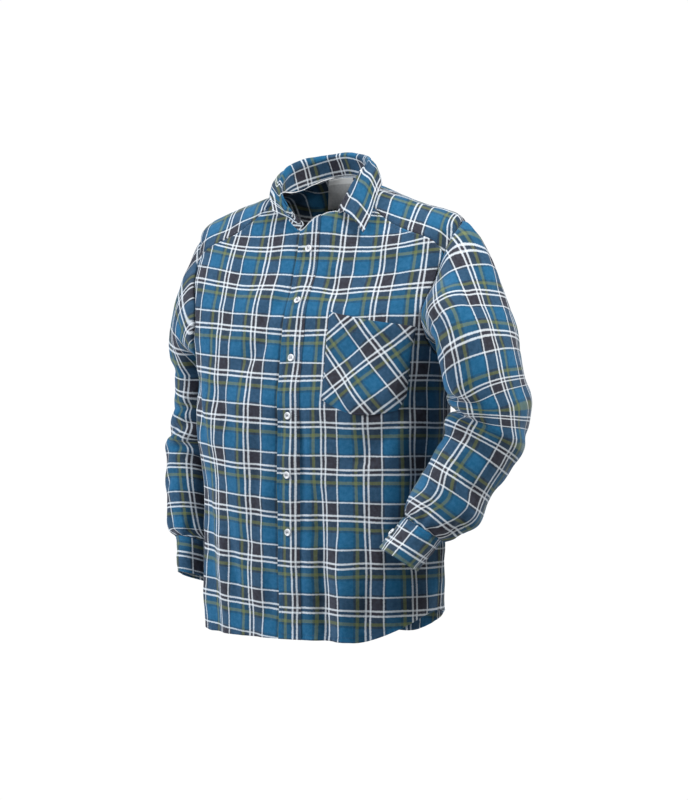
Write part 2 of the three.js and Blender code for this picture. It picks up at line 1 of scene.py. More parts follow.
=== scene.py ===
"""A long-sleeved plaid flannel shirt with a buttoned front, filled out as if worn.

+Z is up, +X is the wearer's left and the front faces -Y. Lengths are in millimetres until
new_mesh() scales them to metres. Cloth coordinates (u across, v along the cloth) are kept in
each sheet's UV layer, so that the check follows the cut of every piece.
"""

import json

import bpy
import numpy as np
from mathutils import Matrix, Vector

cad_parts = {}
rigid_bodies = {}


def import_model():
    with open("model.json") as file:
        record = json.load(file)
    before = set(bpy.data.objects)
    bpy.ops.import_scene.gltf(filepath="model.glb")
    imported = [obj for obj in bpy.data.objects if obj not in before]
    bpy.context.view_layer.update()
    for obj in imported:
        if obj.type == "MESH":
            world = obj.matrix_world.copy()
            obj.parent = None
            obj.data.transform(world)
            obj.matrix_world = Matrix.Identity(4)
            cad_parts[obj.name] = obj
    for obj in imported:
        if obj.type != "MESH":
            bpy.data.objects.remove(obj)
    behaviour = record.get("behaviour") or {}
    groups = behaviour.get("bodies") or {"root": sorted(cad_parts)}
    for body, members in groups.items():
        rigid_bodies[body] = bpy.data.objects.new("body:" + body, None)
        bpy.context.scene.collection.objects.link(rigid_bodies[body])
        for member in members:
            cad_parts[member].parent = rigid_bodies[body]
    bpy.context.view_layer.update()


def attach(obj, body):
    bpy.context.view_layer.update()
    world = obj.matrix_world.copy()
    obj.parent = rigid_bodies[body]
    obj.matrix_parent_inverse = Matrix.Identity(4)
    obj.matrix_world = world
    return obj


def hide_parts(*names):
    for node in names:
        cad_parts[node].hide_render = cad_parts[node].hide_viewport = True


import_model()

MM = 0.001

# The camera stands level, to the wearer's left of the centre line; its places are in metres
CAMERA_AZIMUTH = 30
CAMERA_DISTANCE = 3.3
CAMERA_HEIGHT = -0.319
CAMERA_LENS = 92.8
CAMERA_SHIFT = (0.0244, -0.015)
FLOOR_HEIGHT = -1.45
FLOOR_SIZE = 3.0

# The light of the surroundings, and how bright the backdrop is seen
WORLD_LIGHT = 0.2
BACKDROP_LIGHT = 1.02
LIGHT_TARGET = (0, 0, -0.3)
# Each light's place from the target (to the camera's right, towards it, up), power, size, colour
LIGHTS = {
    "key": ((1.2, 1.2, 1.85), 92, 0.7, (1.0, 0.99, 0.97)),
    "fill": ((-2.4, 0.45, 0.8), 96, 1.6, (0.96, 0.98, 1.0)),
    "back": ((0, -1.8, 1.3), 12, 1.4, (1.0, 1.0, 1.0)),
}

# Sizes of the cloth and trims
CLOTH = 1.0
HEM_CLOTH = 2.0
COLLAR_CLOTH = 2.2
CUFF_CLOTH = 1.7
PATCH_CLOTH = 1.1
SEAM_GAP = 0.3
PLACKET_WIDTH = 39
BUTTON_DIAMETER = 11.4
BUTTON_HEIGHTS = [-99, -182, -272, -362, -454, -543]
CUFF_HEIGHT = 60
CUFF_OVERLAP = 22
HEM_RISE = 48
HEM_RISE_ANGLE = 43
HEM_HEIGHT = 9
SETT = 72
STITCH_LENGTH = 2.7
STITCH_PITCH = 3.6

# How far each line of stitches lies from its edge
EDGE_STITCH = 5
HEM_STITCH = HEM_HEIGHT - 1
YOKE_STITCH = 4
COLLAR_STITCH = 5.5
POCKET_STITCH = 3
POCKET_TOP_STITCH = 22
LABEL_STITCH = 2

# The threads' radii, and the length of neckline for one turn of its overlocking
BUTTONHOLE_THREAD = 0.32
BUTTON_THREAD = 0.22
TAPE_THREAD = 0.42
TAPE_PITCH = 4.2

# The buttons' outline, their holes from their middle, and the slits that the buttons pass
BUTTON_SIDES = 40
HOLE_PLACE = 1.25
HOLE_RADIUS = 0.75
SLIT_HALF_LENGTH = 8.5
SLIT_HALF_WIDTH = 0.9

# Lines of thread, gathered while the pieces are made
STITCH_LINES = {"navy": [], "white": []}
BUTTON_THREADS = []
TAPE_LINES = []


def link(thing):
    bpy.context.scene.collection.objects.link(thing)
    return thing


def add_camera():
    azimuth = np.radians(CAMERA_AZIMUTH)
    camera = link(bpy.data.objects.new("camera", bpy.data.cameras.new("camera")))
    camera.location = (
        CAMERA_DISTANCE * np.sin(azimuth),
        -CAMERA_DISTANCE * np.cos(azimuth),
        CAMERA_HEIGHT,
    )
    camera.rotation_euler = (np.pi / 2, 0, azimuth)
    camera.data.lens = CAMERA_LENS
    camera.data.shift_x, camera.data.shift_y = CAMERA_SHIFT
    bpy.context.scene.camera = camera


add_camera()


def table(columns, rows):
    """A table as named columns."""
    return dict(zip(columns.split(), np.array(rows, float).T))


# Rings of the body from the hem to the neck: the heights of the sides, the front and the
# back, half-width, depth in front and behind, and how square each half is
RINGS = table("v side front back half fore aft mid square_front square_back sag", [
    [0.0, -710, -710, -710, 205, 107, 108, 0, 2.6, 2.1, 2],
    [0.12, -620, -620, -620, 206, 109, 107, 0, 2.6, 2.1, 2],
    [0.31, -460, -460, -460, 213, 113, 101, 0, 2.7, 2.1, 2],
    [0.45, -350, -350, -350, 219, 115, 105, 0, 2.7, 2.1, 2],
    [0.56, -268, -272, -262, 221, 104, 113, 0, 2.7, 2.2, 2],
    [0.68, -185, -200, -160, 230, 92, 113, 3, 3.0, 2.6, 2],
    [0.82, -64, -140, -52, 238, 74, 90, 12, 2.3, 2.3, 1.8],
    [0.92, -23, -110, -8, 155, 64, 76, 12, 2.3, 2.3, 1.9],
    [1.0, 0, -74, 26, 80, 57, 62, 12, 2.2, 2.2, 2.5],
])

# The armhole's edge in degrees in front of and behind the side line, row by row
ARMHOLE = table("v front back", [
    [0.555, 0, 0],
    [0.562, 8, 8],
    [0.58, 12, 12.5],
    [0.61, 15, 16],
    [0.645, 16.5, 18],
    [0.685, 15.5, 17],
    [0.725, 12, 14],
    [0.765, 8.5, 10.5],
    [0.8, 5, 6.5],
    [0.825, 0, 0],
])
UNDERARM = ARMHOLE["v"][0]
YOKE_ROW = 7
YOKE_V = ARMHOLE["v"][YOKE_ROW]
ARMHOLE_TOP = ARMHOLE["v"][-1]
YOKE_NECK_ANGLE = 21
YOKE_BACK_CLOTH = 125
YOKE_TURNED_DOWN = 14

# Long soft folds of the body; they deepen towards the hem and depth is inwards
BODY_FOLDS = table("from_angle from_v to_angle to_v width depth", [
    [-64, 0.36, -60, -0.05, 7, 9],
    [-49, 0.3, -50, -0.05, 6, -6],
    [-160, 0.42, -152, -0.05, 6, 8],
    [-128, 0.3, -124, -0.05, 7, 5],
    [-30, 0.56, -38, 0.34, 6, 5],
    [58, 0.66, 50, -0.05, 8, 9],
    [122, 0.66, 130, -0.05, 8, 9],
    [92, 0.36, 96, -0.05, 8, -6],
])

SLEEVE_COLUMNS = "x y z out_x out_y out_z out across"
LEFT_SLEEVE = table(SLEEVE_COLUMNS, [
    [232, 6, -166, 0.09, 0, 1, 102, 66],
    [250, 1, -176, 0.3, 0, 0.95, 90, 74],
    [269, -12, -194, 0.58, 0, 0.81, 72, 81],
    [283, -27, -230, 0.86, 0, 0.5, 57, 87],
    [292, -38, -268, 0.98, 0, 0.2, 53, 88],
    [302, -42, -308, 1, 0, 0.02, 55, 83],
    [312, -40, -342, 0.98, 0.05, -0.18, 60, 76],
    [311, -42, -374, 0.92, 0.12, -0.38, 62, 68],
    [299, -53, -410, 0.82, 0.25, -0.5, 58, 60],
    [279, -68, -447, 0.75, 0.36, -0.54, 53, 54],
    [257, -84, -487, 0.73, 0.42, -0.53, 48, 50],
    [239, -97, -519, 0.73, 0.42, -0.53, 43, 48],
    [231.5, -102, -531, 0.73, 0.42, -0.53, 33, 42],
])
RIGHT_SLEEVE = table(SLEEVE_COLUMNS, [
    [-232, 6, -166, -0.09, 0, 1, 102, 66],
    [-244, 14, -178, -0.25, 0, 0.97, 90, 72],
    [-260, 30, -198, -0.55, 0, 0.83, 62, 78],
    [-264, 48, -236, -0.85, 0, 0.5, 50, 80],
    [-265, 66, -275, -0.98, 0, 0.15, 45, 82],
    [-268, 76, -320, -1, 0, 0, 46, 81],
    [-279, 80, -362, -1, 0, 0, 47, 75],
    [-287, 80, -402, -1, 0, 0, 50, 67],
    [-289, 72, -445, -1, 0, 0, 50, 61],
    [-285, 58, -492, -1, 0, 0.02, 49, 56],
    [-279, 48, -537, -1, 0, 0.05, 46, 52],
    [-275, 43, -566, -1, 0, 0.08, 42, 49],
    [-272, 40, -577, -1, 0, 0.1, 32, 43],
])
SLEEVE_BLEND = 0.24
SLEEVE_HEAD_FULLNESS = 4

# Deep folds of the sleeves: their share of the length, their middle as an angle from the
# underarm edge through the front, slant, width along the sleeve and spread round it
SLEEVE_FOLD_COLUMNS = "at angle lean width spread depth"
LEFT_SLEEVE_FOLDS = table(SLEEVE_FOLD_COLUMNS, [
    [0.56, 0, 0.02, 0.028, 60, 13],
    [0.5, 40, 0.05, 0.03, 70, -5],
    [0.62, 60, -0.04, 0.03, 80, -5],
    [0.66, 330, 0.03, 0.03, 60, 6],
    [0.44, 330, 0.04, 0.03, 60, 6],
    [0.17, 180, 0, 0.10, 80, 10],
    [0.88, 180, 0, 0.07, 70, -15],
])
RIGHT_SLEEVE_FOLDS = table(SLEEVE_FOLD_COLUMNS, [
    [0.55, 90, 0.05, 0.03, 60, 8],
    [0.62, 110, 0.05, 0.03, 60, -6],
    [0.68, 60, -0.04, 0.03, 60, 7],
    [0.47, 120, 0.04, 0.03, 60, 5],
    [0.20, 180, 0, 0.12, 80, 16],
])

# The collar from the left end round the back to the right end
COLLAR = table("seam fold_x fold_y fold_z edge_x edge_y edge_z", [
    [-48, 45, -35, -36, 97, -47, -77],
    [-26, 62, -20, 4, 104, -30, -42],
    [-2, 71, 10, 37, 102, 3, 0],
    [34, 52, 45, 51, 69, 43, 22],
    [64, 28, 61, 59, 45, 81, 27],
    [90, 0, 66, 63, 0, 92, 27],
    [116, -30, 60, 60, -48, 84, 27],
    [146, -59, 43, 54, -80, 52, 22],
    [178, -77, 13, 35, -102, 8, 5],
    [204, -74, -12, 12, -93, -16, -9],
    [225, -42, -37, -33, -83, -29, -21],
    [250, -13, -45, -56, -74, -40, -34],
])
COLLAR_ROLL = 5.5
COLLAR_SEAM_GAP = 1.0

POCKET_SIDES = table("down left right", [[0, -56.5, -18], [1, -62.4, -22]])
POCKET_EDGES = table("across top bottom", [
    [0, -201, -337],
    [0.3, -208, -353],
    [0.55, -215, -361],
    [0.9, -223, -354],
    [1, -226, -334],
])

LABEL = {"width": 45, "height": 48, "cloth": 0.8, "middle": -12, "drop": 2}


def lerp(a, b, t):
    return a + (b - a) * t


def smoothstep(x, low, high):
    t = np.clip((x - low) / (high - low), 0, 1)
    return t * t * (3 - 2 * t)


def unit(vectors):
    return vectors / np.maximum(np.linalg.norm(vectors, axis=-1, keepdims=True), 1e-9)


def bell(distance, width):
    return np.exp(-((distance / width) ** 2))


def running_length(path):
    """Distance along a path of points from its first one."""
    return np.concatenate([[0], np.cumsum(np.linalg.norm(np.diff(path, axis=0), axis=1))])


def resample(places, lengths, values):
    """Points known at lengths along a path, read at other places on it."""
    return np.stack([np.interp(places, lengths, values[:, k]) for k in range(3)], axis=-1)


def point_of(lines, names, share):
    """A point or a direction from three named curves."""
    return np.stack([lines[name](share) for name in names.split()], axis=-1)


def curve(xs, ys):
    """A smooth function through points that never overshoots them."""
    steps = np.diff(xs)
    slopes = np.diff(ys) / steps
    product = slopes[:-1] * slopes[1:]
    total = np.where(product > 0, slopes[:-1] + slopes[1:], 1)
    middle = np.where(product > 0, 2 * product / total, 0)
    tangents = np.concatenate([slopes[:1], middle, slopes[-1:]])

    def value(x):
        x = np.asarray(x, float)
        i = np.clip(np.searchsorted(xs, x, side="left") - 1, 0, len(steps) - 1)
        t = (x - xs[i]) / steps[i]
        start = t * (1 - t) ** 2 * steps[i] * tangents[i]
        end = t * t * (t - 1) * steps[i] * tangents[i + 1]
        inside = lerp(ys[i], ys[i + 1], t * t * (3 - 2 * t)) + start + end
        return np.where(x < xs[0], ys[0] + tangents[0] * (x - xs[0]), inside)

    return value


def curves(columns, at):
    return {name: curve(columns[at], values) for name, values in columns.items() if name != at}


ring = curves(RINGS, "v")
armhole = curves(ARMHOLE, "v")


def waves(points, size, seed, count=14):
    """Smooth irregular waves of about unit height, the same for neighbouring pieces."""
    random = np.random.default_rng(seed)
    directions = unit(random.normal(size=(count, 3)))
    lengths = size * random.uniform(0.7, 1.6, count)
    phases = random.uniform(0, 2 * np.pi, count)
    turns = points @ (directions / lengths[:, None]).T * 2 * np.pi + phases
    return np.sin(turns).sum(axis=-1) / np.sqrt(count / 2)


def ripple(points):
    """The small unevenness of soft cloth."""
    return 1.6 * waves(points, 150, 3) + 0.7 * waves(points, 58, 5) + 0.18 * waves(points, 22, 8)


def crease(points, path, width, depth, lean=0.5):
    """A soft trough along a path of points, with a low ridge on one side, as a depth inwards.

    It fades out at both ends. lean says how high the ridge is, as a share of the depth.
    """
    starts = running_length(path)
    best = np.full(points.shape[:-1], np.inf)
    share = np.zeros(points.shape[:-1])
    side = np.zeros(points.shape[:-1])
    outward = unit(path.mean(axis=0) * (1, 1, 0))
    for i, length in enumerate(np.diff(starts)):
        direction = (path[i + 1] - path[i]) / length
        relative = points - path[i]
        along = np.clip(relative @ direction, 0, length)
        away = relative - along[..., None] * direction
        distance = np.linalg.norm(away, axis=-1)
        closer = distance < best
        best = np.where(closer, distance, best)
        share = np.where(closer, (starts[i] + along) / starts[-1], share)
        side = np.where(closer, away @ np.cross(direction, outward), side)
    fade = np.sin(np.pi * np.clip(share, 0.02, 0.98)) ** 0.7
    ridge = bell(side - 2 * width, 1.3 * width) * (best < 6 * width)
    return depth * fade * (bell(best, width) - lean * ridge)


def angle_between(a, b):
    return np.abs((a - b) % 360 - 360 * ((a - b) % 360 > 180))


def smooth_body(angle, v):
    """The body at an angle in degrees (0 the wearer's left, 90 the back, -90 the front)."""
    cos, sin = np.cos(np.radians(angle)), np.sin(np.radians(angle))
    in_front = sin < 0
    depth = np.where(in_front, ring["fore"](v), ring["aft"](v))
    power = np.where(in_front, ring["square_front"](v), ring["square_back"](v))
    reach = np.abs(cos / ring["half"](v)) ** power + np.abs(sin / depth) ** power
    radius = reach ** (-1 / power)
    share = np.abs(radius * sin / depth) ** ring["sag"](v)
    end = np.where(in_front, ring["front"](v), ring["back"](v))
    height = lerp(ring["side"](v), end, share)
    return np.stack([radius * cos, ring["mid"](v) + radius * sin, height], axis=-1)


def body_normal(angle, v):
    around = smooth_body(angle + 0.5, v) - smooth_body(angle - 0.5, v)
    up = smooth_body(angle, np.minimum(v + 0.004, 1)) - smooth_body(angle, v - 0.004)
    return unit(np.cross(around, up))


def row_at_height(angle, height):
    """The row at which the body reaches a height, found by halving."""
    low = np.zeros(np.broadcast(angle, height).shape)
    high = np.ones_like(low)
    for _ in range(30):
        middle = (low + high) / 2
        below = smooth_body(angle, middle)[..., 2] < height
        low = np.where(below, middle, low)
        high = np.where(below, high, middle)
    return low


# Creases of the body as angle and height of their start, middle and end
BODY_CREASES = table("angle_1 height_1 angle_2 height_2 angle_3 height_3 width depth", [
    [-100, -150, -112, -190, -128, -235, 14, 5.0],
    [-104, -215, -122, -262, -140, -300, 15, 5.0],
    [-150, -300, -140, -360, -128, -410, 15, 5.5],
    [-168, -290, -158, -350, -150, -420, 12, 5.5],
    [-79, -110, -79, -400, -79, -705, 9, 7.0],
    [-97, -120, -98, -400, -99, -690, 12, 3.0],
    [-114, -300, -117, -420, -122, -560, 13, 4.5],
    [-40, -240, -50, -300, -58, -380, 17, 4.5],
    [-14, -300, -24, -360, -34, -420, 14, 6.0],
    [-8, -420, -20, -520, -26, -600, 14, 6.0],
    [-70, -450, -66, -570, -64, -695, 12, 5.5],
    [-38, -540, -36, -620, -36, -700, 14, 5.5],
    [-140, -520, -137, -620, -136, -700, 13, 6.0],
    [-112, -560, -110, -630, -110, -700, 12, 4.5],
    [-66, -130, -52, -170, -38, -200, 14, 4.0],
    [35, -150, 52, -220, 66, -300, 18, 5.0],
    [145, -150, 128, -230, 112, -310, 18, 5.0],
    [22, -330, 40, -380, 62, -420, 15, 5.0],
    [158, -340, 140, -390, 116, -430, 15, 5.0],
    [70, -420, 90, -450, 112, -440, 16, 3.5],
    [75, -520, 78, -610, 76, -700, 15, 4.0],
    [105, -540, 108, -620, 110, -700, 15, 4.0],
    [30, -560, 28, -630, 30, -700, 14, 4.0],
    [60, -110, 90, -130, 120, -108, 16, 2.5],
])


def body_crease_paths():
    paths = []
    for row in zip(*BODY_CREASES.values()):
        angles, heights = np.array(row[0:6:2]), np.array(row[1:6:2])
        paths.append((smooth_body(angles, row_at_height(angles, heights)), row[6], row[7]))
    return paths


CREASE_PATHS = body_crease_paths()
MIDDLE_FRONT = np.full(len(BUTTON_HEIGHTS), -90.0)
BUTTON_SEATS = smooth_body(MIDDLE_FRONT, row_at_height(MIDDLE_FRONT, np.array(BUTTON_HEIGHTS)))
# Each button draws the cloth in round it
BUTTON_DENT = 1.2
BUTTON_DENT_WIDTH = 13


def fold_depth(angle, v, points):
    depth = np.zeros(np.broadcast(angle, v).shape)
    for from_angle, from_v, to_angle, to_v, width, deep in zip(*BODY_FOLDS.values()):
        along = (from_v - v) / (from_v - to_v)
        away = angle_between(angle, lerp(from_angle, to_angle, along))
        inside = (along > 0) & (along < 1)
        depth += np.where(inside, deep * smoothstep(along, 0, 0.5) * bell(away, width), 0)
    for path, width, deep in CREASE_PATHS:
        depth += crease(points, path, width, deep)
    for seat in BUTTON_SEATS:
        depth += BUTTON_DENT * bell(np.linalg.norm(points - seat, axis=-1), BUTTON_DENT_WIDTH)
    return depth


def body(angle, v, offset=0):
    """A point of the body's outer face with all its folds, moved out by offset."""
    angle, v = np.broadcast_arrays(np.asarray(angle, float), np.asarray(v, float))
    points = smooth_body(angle, v)
    out = offset - fold_depth(angle, v, points) + ripple(points)
    return points + body_normal(angle, v) * np.asarray(out)[..., None]


def front_angle(x, v):
    """The angle at which the body is a given width to the side of the centre front."""
    return -90 + np.degrees(np.arctan2(x, ring["fore"](v)))


def right_seam(t):
    return -180 - 20 * np.clip(1 - t / 0.5, 0, 1)


def hem_row(angle, t):
    """The body's row for a share t of a panel: the hem rises towards the side seams."""
    away = np.minimum(angle_between(angle, 0), angle_between(angle, -200))
    rise = np.cos(np.pi / 2 * np.minimum(1, away / HEM_RISE_ANGLE)) ** 2
    per_millimetre = RINGS["v"][1] / (RINGS["front"][1] - RINGS["front"][0])
    return t + HEM_RISE * per_millimetre * rise * np.maximum(0, 1 - t / 0.3)


def spaced(count):
    """Shares from 0 to 1, close together at both ends so that edges can be rounded."""
    ends = np.array([0, 0.0012, 0.003, 0.006])
    return np.concatenate([ends, np.linspace(0.012, 0.988, count), 1 - ends[::-1]])


def grid_normals(grid, looped=False):
    along = np.gradient(grid, axis=0)
    if looped:
        around = np.roll(grid, -1, axis=1) - np.roll(grid, 1, axis=1)
    else:
        around = np.gradient(grid, axis=1)
    return unit(np.cross(around, along))


def arc(grid, axis):
    """Distance along a grid from its first row (axis 0) or column (axis 1)."""
    lengths = np.linalg.norm(np.diff(grid, axis=axis), axis=-1)
    start = np.zeros_like(np.take(lengths, [0], axis=axis))
    return np.concatenate([start, np.cumsum(lengths, axis=axis)], axis=axis)


def edge_distances(grid):
    """How far each point lies from the bottom, top, first and last edge of a grid."""
    rows, columns = arc(grid, 0), arc(grid, 1)
    return {
        "bottom": rows,
        "top": rows[-1:] - rows,
        "first": columns,
        "last": columns[:, -1:] - columns,
    }


def new_mesh(name, points, faces, uv=None):
    mesh = bpy.data.meshes.new(name)
    mesh.from_pydata((np.asarray(points) * MM).tolist(), [], faces)
    if uv is not None:
        loops = np.empty(len(mesh.loops), int)
        mesh.loops.foreach_get("vertex_index", loops)
        layer = mesh.uv_layers.new(name="cloth")
        layer.data.foreach_set("uv", (np.asarray(uv)[loops] * MM).ravel())
    mesh.shade_smooth()
    return link(bpy.data.objects.new(name, mesh))


def shell(name, outer, uv, thickness, looped=False, facing=1):
    """A closed sheet of cloth whose outer face is a grid of points, with rounded edges."""
    normals = grid_normals(outer, looped) * facing
    distances = edge_distances(outer)
    nearest = np.full(outer.shape[:2], 99.0)
    for edge in ("bottom", "top") if looped else ("bottom", "top", "first", "last"):
        nearest = np.minimum(nearest, distances[edge])
    full = np.broadcast_to(np.asarray(thickness, float), nearest.shape)
    inset = np.clip(1 - nearest / (full / 2), 0, 1)
    rounded = full * (0.25 + 0.75 * np.sqrt(1 - inset * inset))
    face = outer - normals * ((full - rounded) / 2)[..., None]
    back = face - normals * rounded[..., None]

    rows, columns = outer.shape[:2]
    index = np.arange(rows * columns).reshape(rows, columns)
    if looped:
        index = np.concatenate([index, index[:, :1]], axis=1)
    inside = index + rows * columns

    def quads(a, b, c, d):
        return np.stack([a.ravel(), b.ravel(), c.ravel(), d.ravel()], axis=1)

    faces = [
        quads(index[:-1, :-1], index[:-1, 1:], index[1:, 1:], index[1:, :-1]),
        quads(inside[:-1, :-1], inside[1:, :-1], inside[1:, 1:], inside[:-1, 1:]),
        quads(index[0, :-1], inside[0, :-1], inside[0, 1:], index[0, 1:]),
        quads(index[-1, :-1], index[-1, 1:], inside[-1, 1:], inside[-1, :-1]),
    ]
    if not looped:
        faces.append(quads(index[:-1, 0], index[1:, 0], inside[1:, 0], inside[:-1, 0]))
        faces.append(quads(index[:-1, -1], inside[:-1, -1], inside[1:, -1], index[1:, -1]))
    points = np.concatenate([face.reshape(-1, 3), back.reshape(-1, 3)])
    both = np.concatenate([uv.reshape(-1, 2), uv.reshape(-1, 2)])
    faces = np.concatenate(faces)
    return new_mesh(name, points, (faces if facing > 0 else faces[:, ::-1]).tolist(), both)


def cloth_area(uv):
    """The flat area of a grid of cloth coordinates, in square metres."""
    a = uv[1:, 1:] - uv[:-1, :-1]
    b = uv[1:, :-1] - uv[:-1, 1:]
    return float(np.abs(a[..., 0] * b[..., 1] - a[..., 1] * b[..., 0]).sum() / 2 * MM * MM)


def declare(piece, node):
    """Rides a piece on the shirt's body in place of its solid."""
    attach(piece, "root")
    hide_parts(node)


class Sheet:
    """A grid of cloth in millimetres with its cloth coordinates, from which a piece is made.

    facing is 1 where columns run anticlockwise and rows run up, seen from outside, or -1.
    """

    def __init__(self, grid, u, v, origin, looped=False, facing=1):
        self.grid = grid
        self.uv = np.stack([u + origin[0], v + origin[1]], axis=-1)
        self.looped = looped
        self.facing = facing

    def normals(self):
        return grid_normals(self.grid, self.looped) * self.facing

    def dent(self, depth):
        """Moves the face inwards by a depth at each point."""
        self.grid = self.grid - self.normals() * depth[..., None]

    def press_seam(self, edge, felled=0):
        """Sinks a sewn edge, puckers the cloth along it and raises a felled band beside it."""
        distance = edge_distances(self.grid)[edge]
        pucker = 0.28 * waves(self.grid, 11, 21) * np.exp(-distance / 7)
        depth = 0.9 * bell(distance, 1.8) + pucker
        if felled:
            band = smoothstep(distance, 0.5, 2) * (1 - smoothstep(distance, felled - 0.6, felled + 0.8))
            depth = depth - 0.45 * band + 0.35 * bell(distance - felled + 1.2, 0.9)
        self.dent(depth)

    def line(self, edge, distance, thread="navy", ends=(0, 1)):
        """Sews a line of stitches at a distance from an edge, over a share of its length."""
        fields = [edge_distances(self.grid)[edge], self.grid, self.normals()]
        if edge in ("bottom", "top"):
            fields = [np.swapaxes(field, 0, 1) for field in fields]
        first, last = (int(end * (len(fields[0]) - 1)) for end in ends)
        points, outwards = [], []
        for away, lane, normal in zip(*(field[first:last + 1] for field in fields)):
            growing = -1 if away[0] > away[-1] else 1
            points.append(resample(distance, away[::growing], lane[::growing]))
            outwards.append(resample(distance, away[::growing], normal[::growing]))
        STITCH_LINES[thread].append((np.array(points), np.array(outwards)))

    def topstitch(self, edges, distance, depth=0.3, width=1.2):
        """Sinks a line along each of some edges and sews along it."""
        distances = edge_distances(self.grid)
        for edge in edges:
            self.dent(depth * bell(distances[edge] - distance, width))
            self.line(edge, distance)

    def build(self, name, node, thickness, slot="flannel", held="hung", rests_on=()):
        """Makes the piece in place of its solid and works out the flat area of its cloth."""
        piece = shell(name, self.grid, self.uv, thickness, self.looped, self.facing)
        declare(piece, node)
        cloth_area(self.uv)
        return piece


def plan_arc(grid):
    """Distance along each row, seen from above."""
    return arc(grid[..., :2], 1)


MERIDIAN_STEP = 4.0
MERIDIAN_ANGLES = np.arange(-220, 221, MERIDIAN_STEP)
MERIDIAN_ROWS = np.linspace(0, 1, 161)
MERIDIANS = arc(smooth_body(MERIDIAN_ANGLES[:, None], MERIDIAN_ROWS[None, :]), 1)


def meridian_height(angle, v):
    """Length of cloth up to a row, from the level of the front hem, along a line of equal angle."""
    last = len(MERIDIAN_ROWS) - 1
    a = (np.asarray(angle, float) - MERIDIAN_ANGLES[0]) / MERIDIAN_STEP
    a = np.clip(a, 0, len(MERIDIAN_ANGLES) - 1.001)
    b = np.clip(np.asarray(v, float), 0, 1) * last
    i, j = a.astype(int), np.minimum(b.astype(int), last - 1)
    low = lerp(MERIDIANS[i, j], MERIDIANS[i, j + 1], b - j)
    high = lerp(MERIDIANS[i + 1, j], MERIDIANS[i + 1, j + 1], b - j)
    return lerp(low, high, a - i)


# Where the check starts on each piece, so that it meets the placket and the pocket as shown
FRONT_ORIGIN = (-8, -46)
RIGHT_ORIGIN = (22.5, -46)
PLACKET_ORIGIN = (-29.5, -46)
BACK_ORIGIN = (36, -46)
COLLAR_ORIGIN = (-2, 7)
POCKET_ORIGIN = (-311, 333)
# The right front's crosswise lines drop by this share towards its side
RIGHT_DROP = 0.075

HALF_PLACKET = PLACKET_WIDTH / 2
# The right front lies behind the left one, and comes forward beside the placket
UNDERLAP_DEPTH = CLOTH + 2 * SEAM_GAP + 0.4
UNDERLAP_START = -HALF_PLACKET - 34
UNDERLAP_FULL = -HALF_PLACKET - 3


def front_edge(t):
    """How far a front's outer edge lies from the side line: side seam, armhole, yoke seam."""
    share = (t - YOKE_V) / (1 - YOKE_V)
    upper = lerp(ARMHOLE["front"][YOKE_ROW], YOKE_NECK_ANGLE, share)
    return np.where(t <= UNDERARM, 0, np.where(t <= YOKE_V, armhole["front"](t), upper))


# How far the left front's neckline stands above the neck seam, from its corner to the collar
NECKLINE = table("angle rise", [
    [-112, 0], [-108, 2], [-100, 8], [-90, 18], [-76, 25], [-64, 24], [-52, 16], [-43, 5], [-38, 0], [0, 0],
])


def neck_rise(angles, rows):
    rise = curve(NECKLINE["angle"], NECKLINE["rise"])(np.clip(angles, -112, 0))
    return rise * smoothstep(rows, 0.86, 1)


def underlap(angles, rows):
    x = ring["fore"](rows) * np.tan(np.radians(np.maximum(angles, -179) + 90))
    return UNDERLAP_DEPTH * smoothstep(x, UNDERLAP_START, UNDERLAP_FULL)


def panel_sheet(t, angles, origin, side, lift=0):
    """A panel of the left (1) or right (-1) front: rows t, and for each row a line of angles."""
    rows = hem_row(angles, t[:, None])
    grid = body(angles, rows, lift if side > 0 else -underlap(angles, rows))
    across = plan_arc(smooth_body(angles, rows))
    v = meridian_height(angles, rows)
    if side > 0:
        rise = neck_rise(angles, rows)
        grid[..., 2] += rise
        v = v + rise
    else:
        v = v - RIGHT_DROP * across
    return Sheet(grid, side * across, v, origin, facing=side)


def hem_thickness(sheet, cloth=CLOTH):
    """The cloth's thickness, doubled where the hem is turned up inside."""
    distance = edge_distances(sheet.grid)["bottom"]
    return cloth + (HEM_CLOTH - cloth) * (1 - smoothstep(distance, HEM_HEIGHT - 1, HEM_HEIGHT + 1))


def finish_hem(sheet):
    """Presses the hem's stitched line into the face and puckers the cloth below it."""
    distance = edge_distances(sheet.grid)["bottom"]
    line = 0.4 * bell(distance - HEM_STITCH, 1.1)
    pucker = 0.4 * waves(sheet.grid * (1, 1, 0.3), 12, 31) * bell(distance, 11)
    sheet.dent(line + pucker)
    sheet.line("bottom", HEM_STITCH)


def panel_rows():
    """Rows of a front, closer together at the hem, the underarm and the neck."""
    low = np.array([0, 0.0006, 0.0016, 0.003, 0.006])
    middle = np.linspace(0.012, 0.99, 170)
    underarm = UNDERARM + np.array([0, 0.001, 0.0025, 0.005, 0.0075, 0.0125])
    high = 1 - low[::-1]
    return np.unique(np.concatenate([low, middle, underarm, high]))


# The part of the left front's neckline that is overlocked, as shares of its length
LEFT_TAPE_SHARES = (0.4, 0.86)


def make_front(side):
    """A front panel; the left one runs under the placket and the right one behind it."""
    t = panel_rows()
    rows = t[:, None]
    if side > 0:
        which, origin, end = "left", FRONT_ORIGIN, -front_edge(rows)
    else:
        which, origin, end = "right", RIGHT_ORIGIN, right_seam(rows) + front_edge(rows)
    start = front_angle(-side * HALF_PLACKET, rows)
    sheet = panel_sheet(t, lerp(start, end, spaced(96)[None, :]), origin, side)
    sheet.press_seam("last", felled=6)
    finish_hem(sheet)
    sheet.press_seam("top")
    sheet.line("last", EDGE_STITCH)
    sheet.build(f"front_{which}_cloth", f"front_{which}", hem_thickness(sheet), rests_on=["yoke_cloth"])
    if side > 0:
        add_neck_tape(sheet, LEFT_TAPE_SHARES)


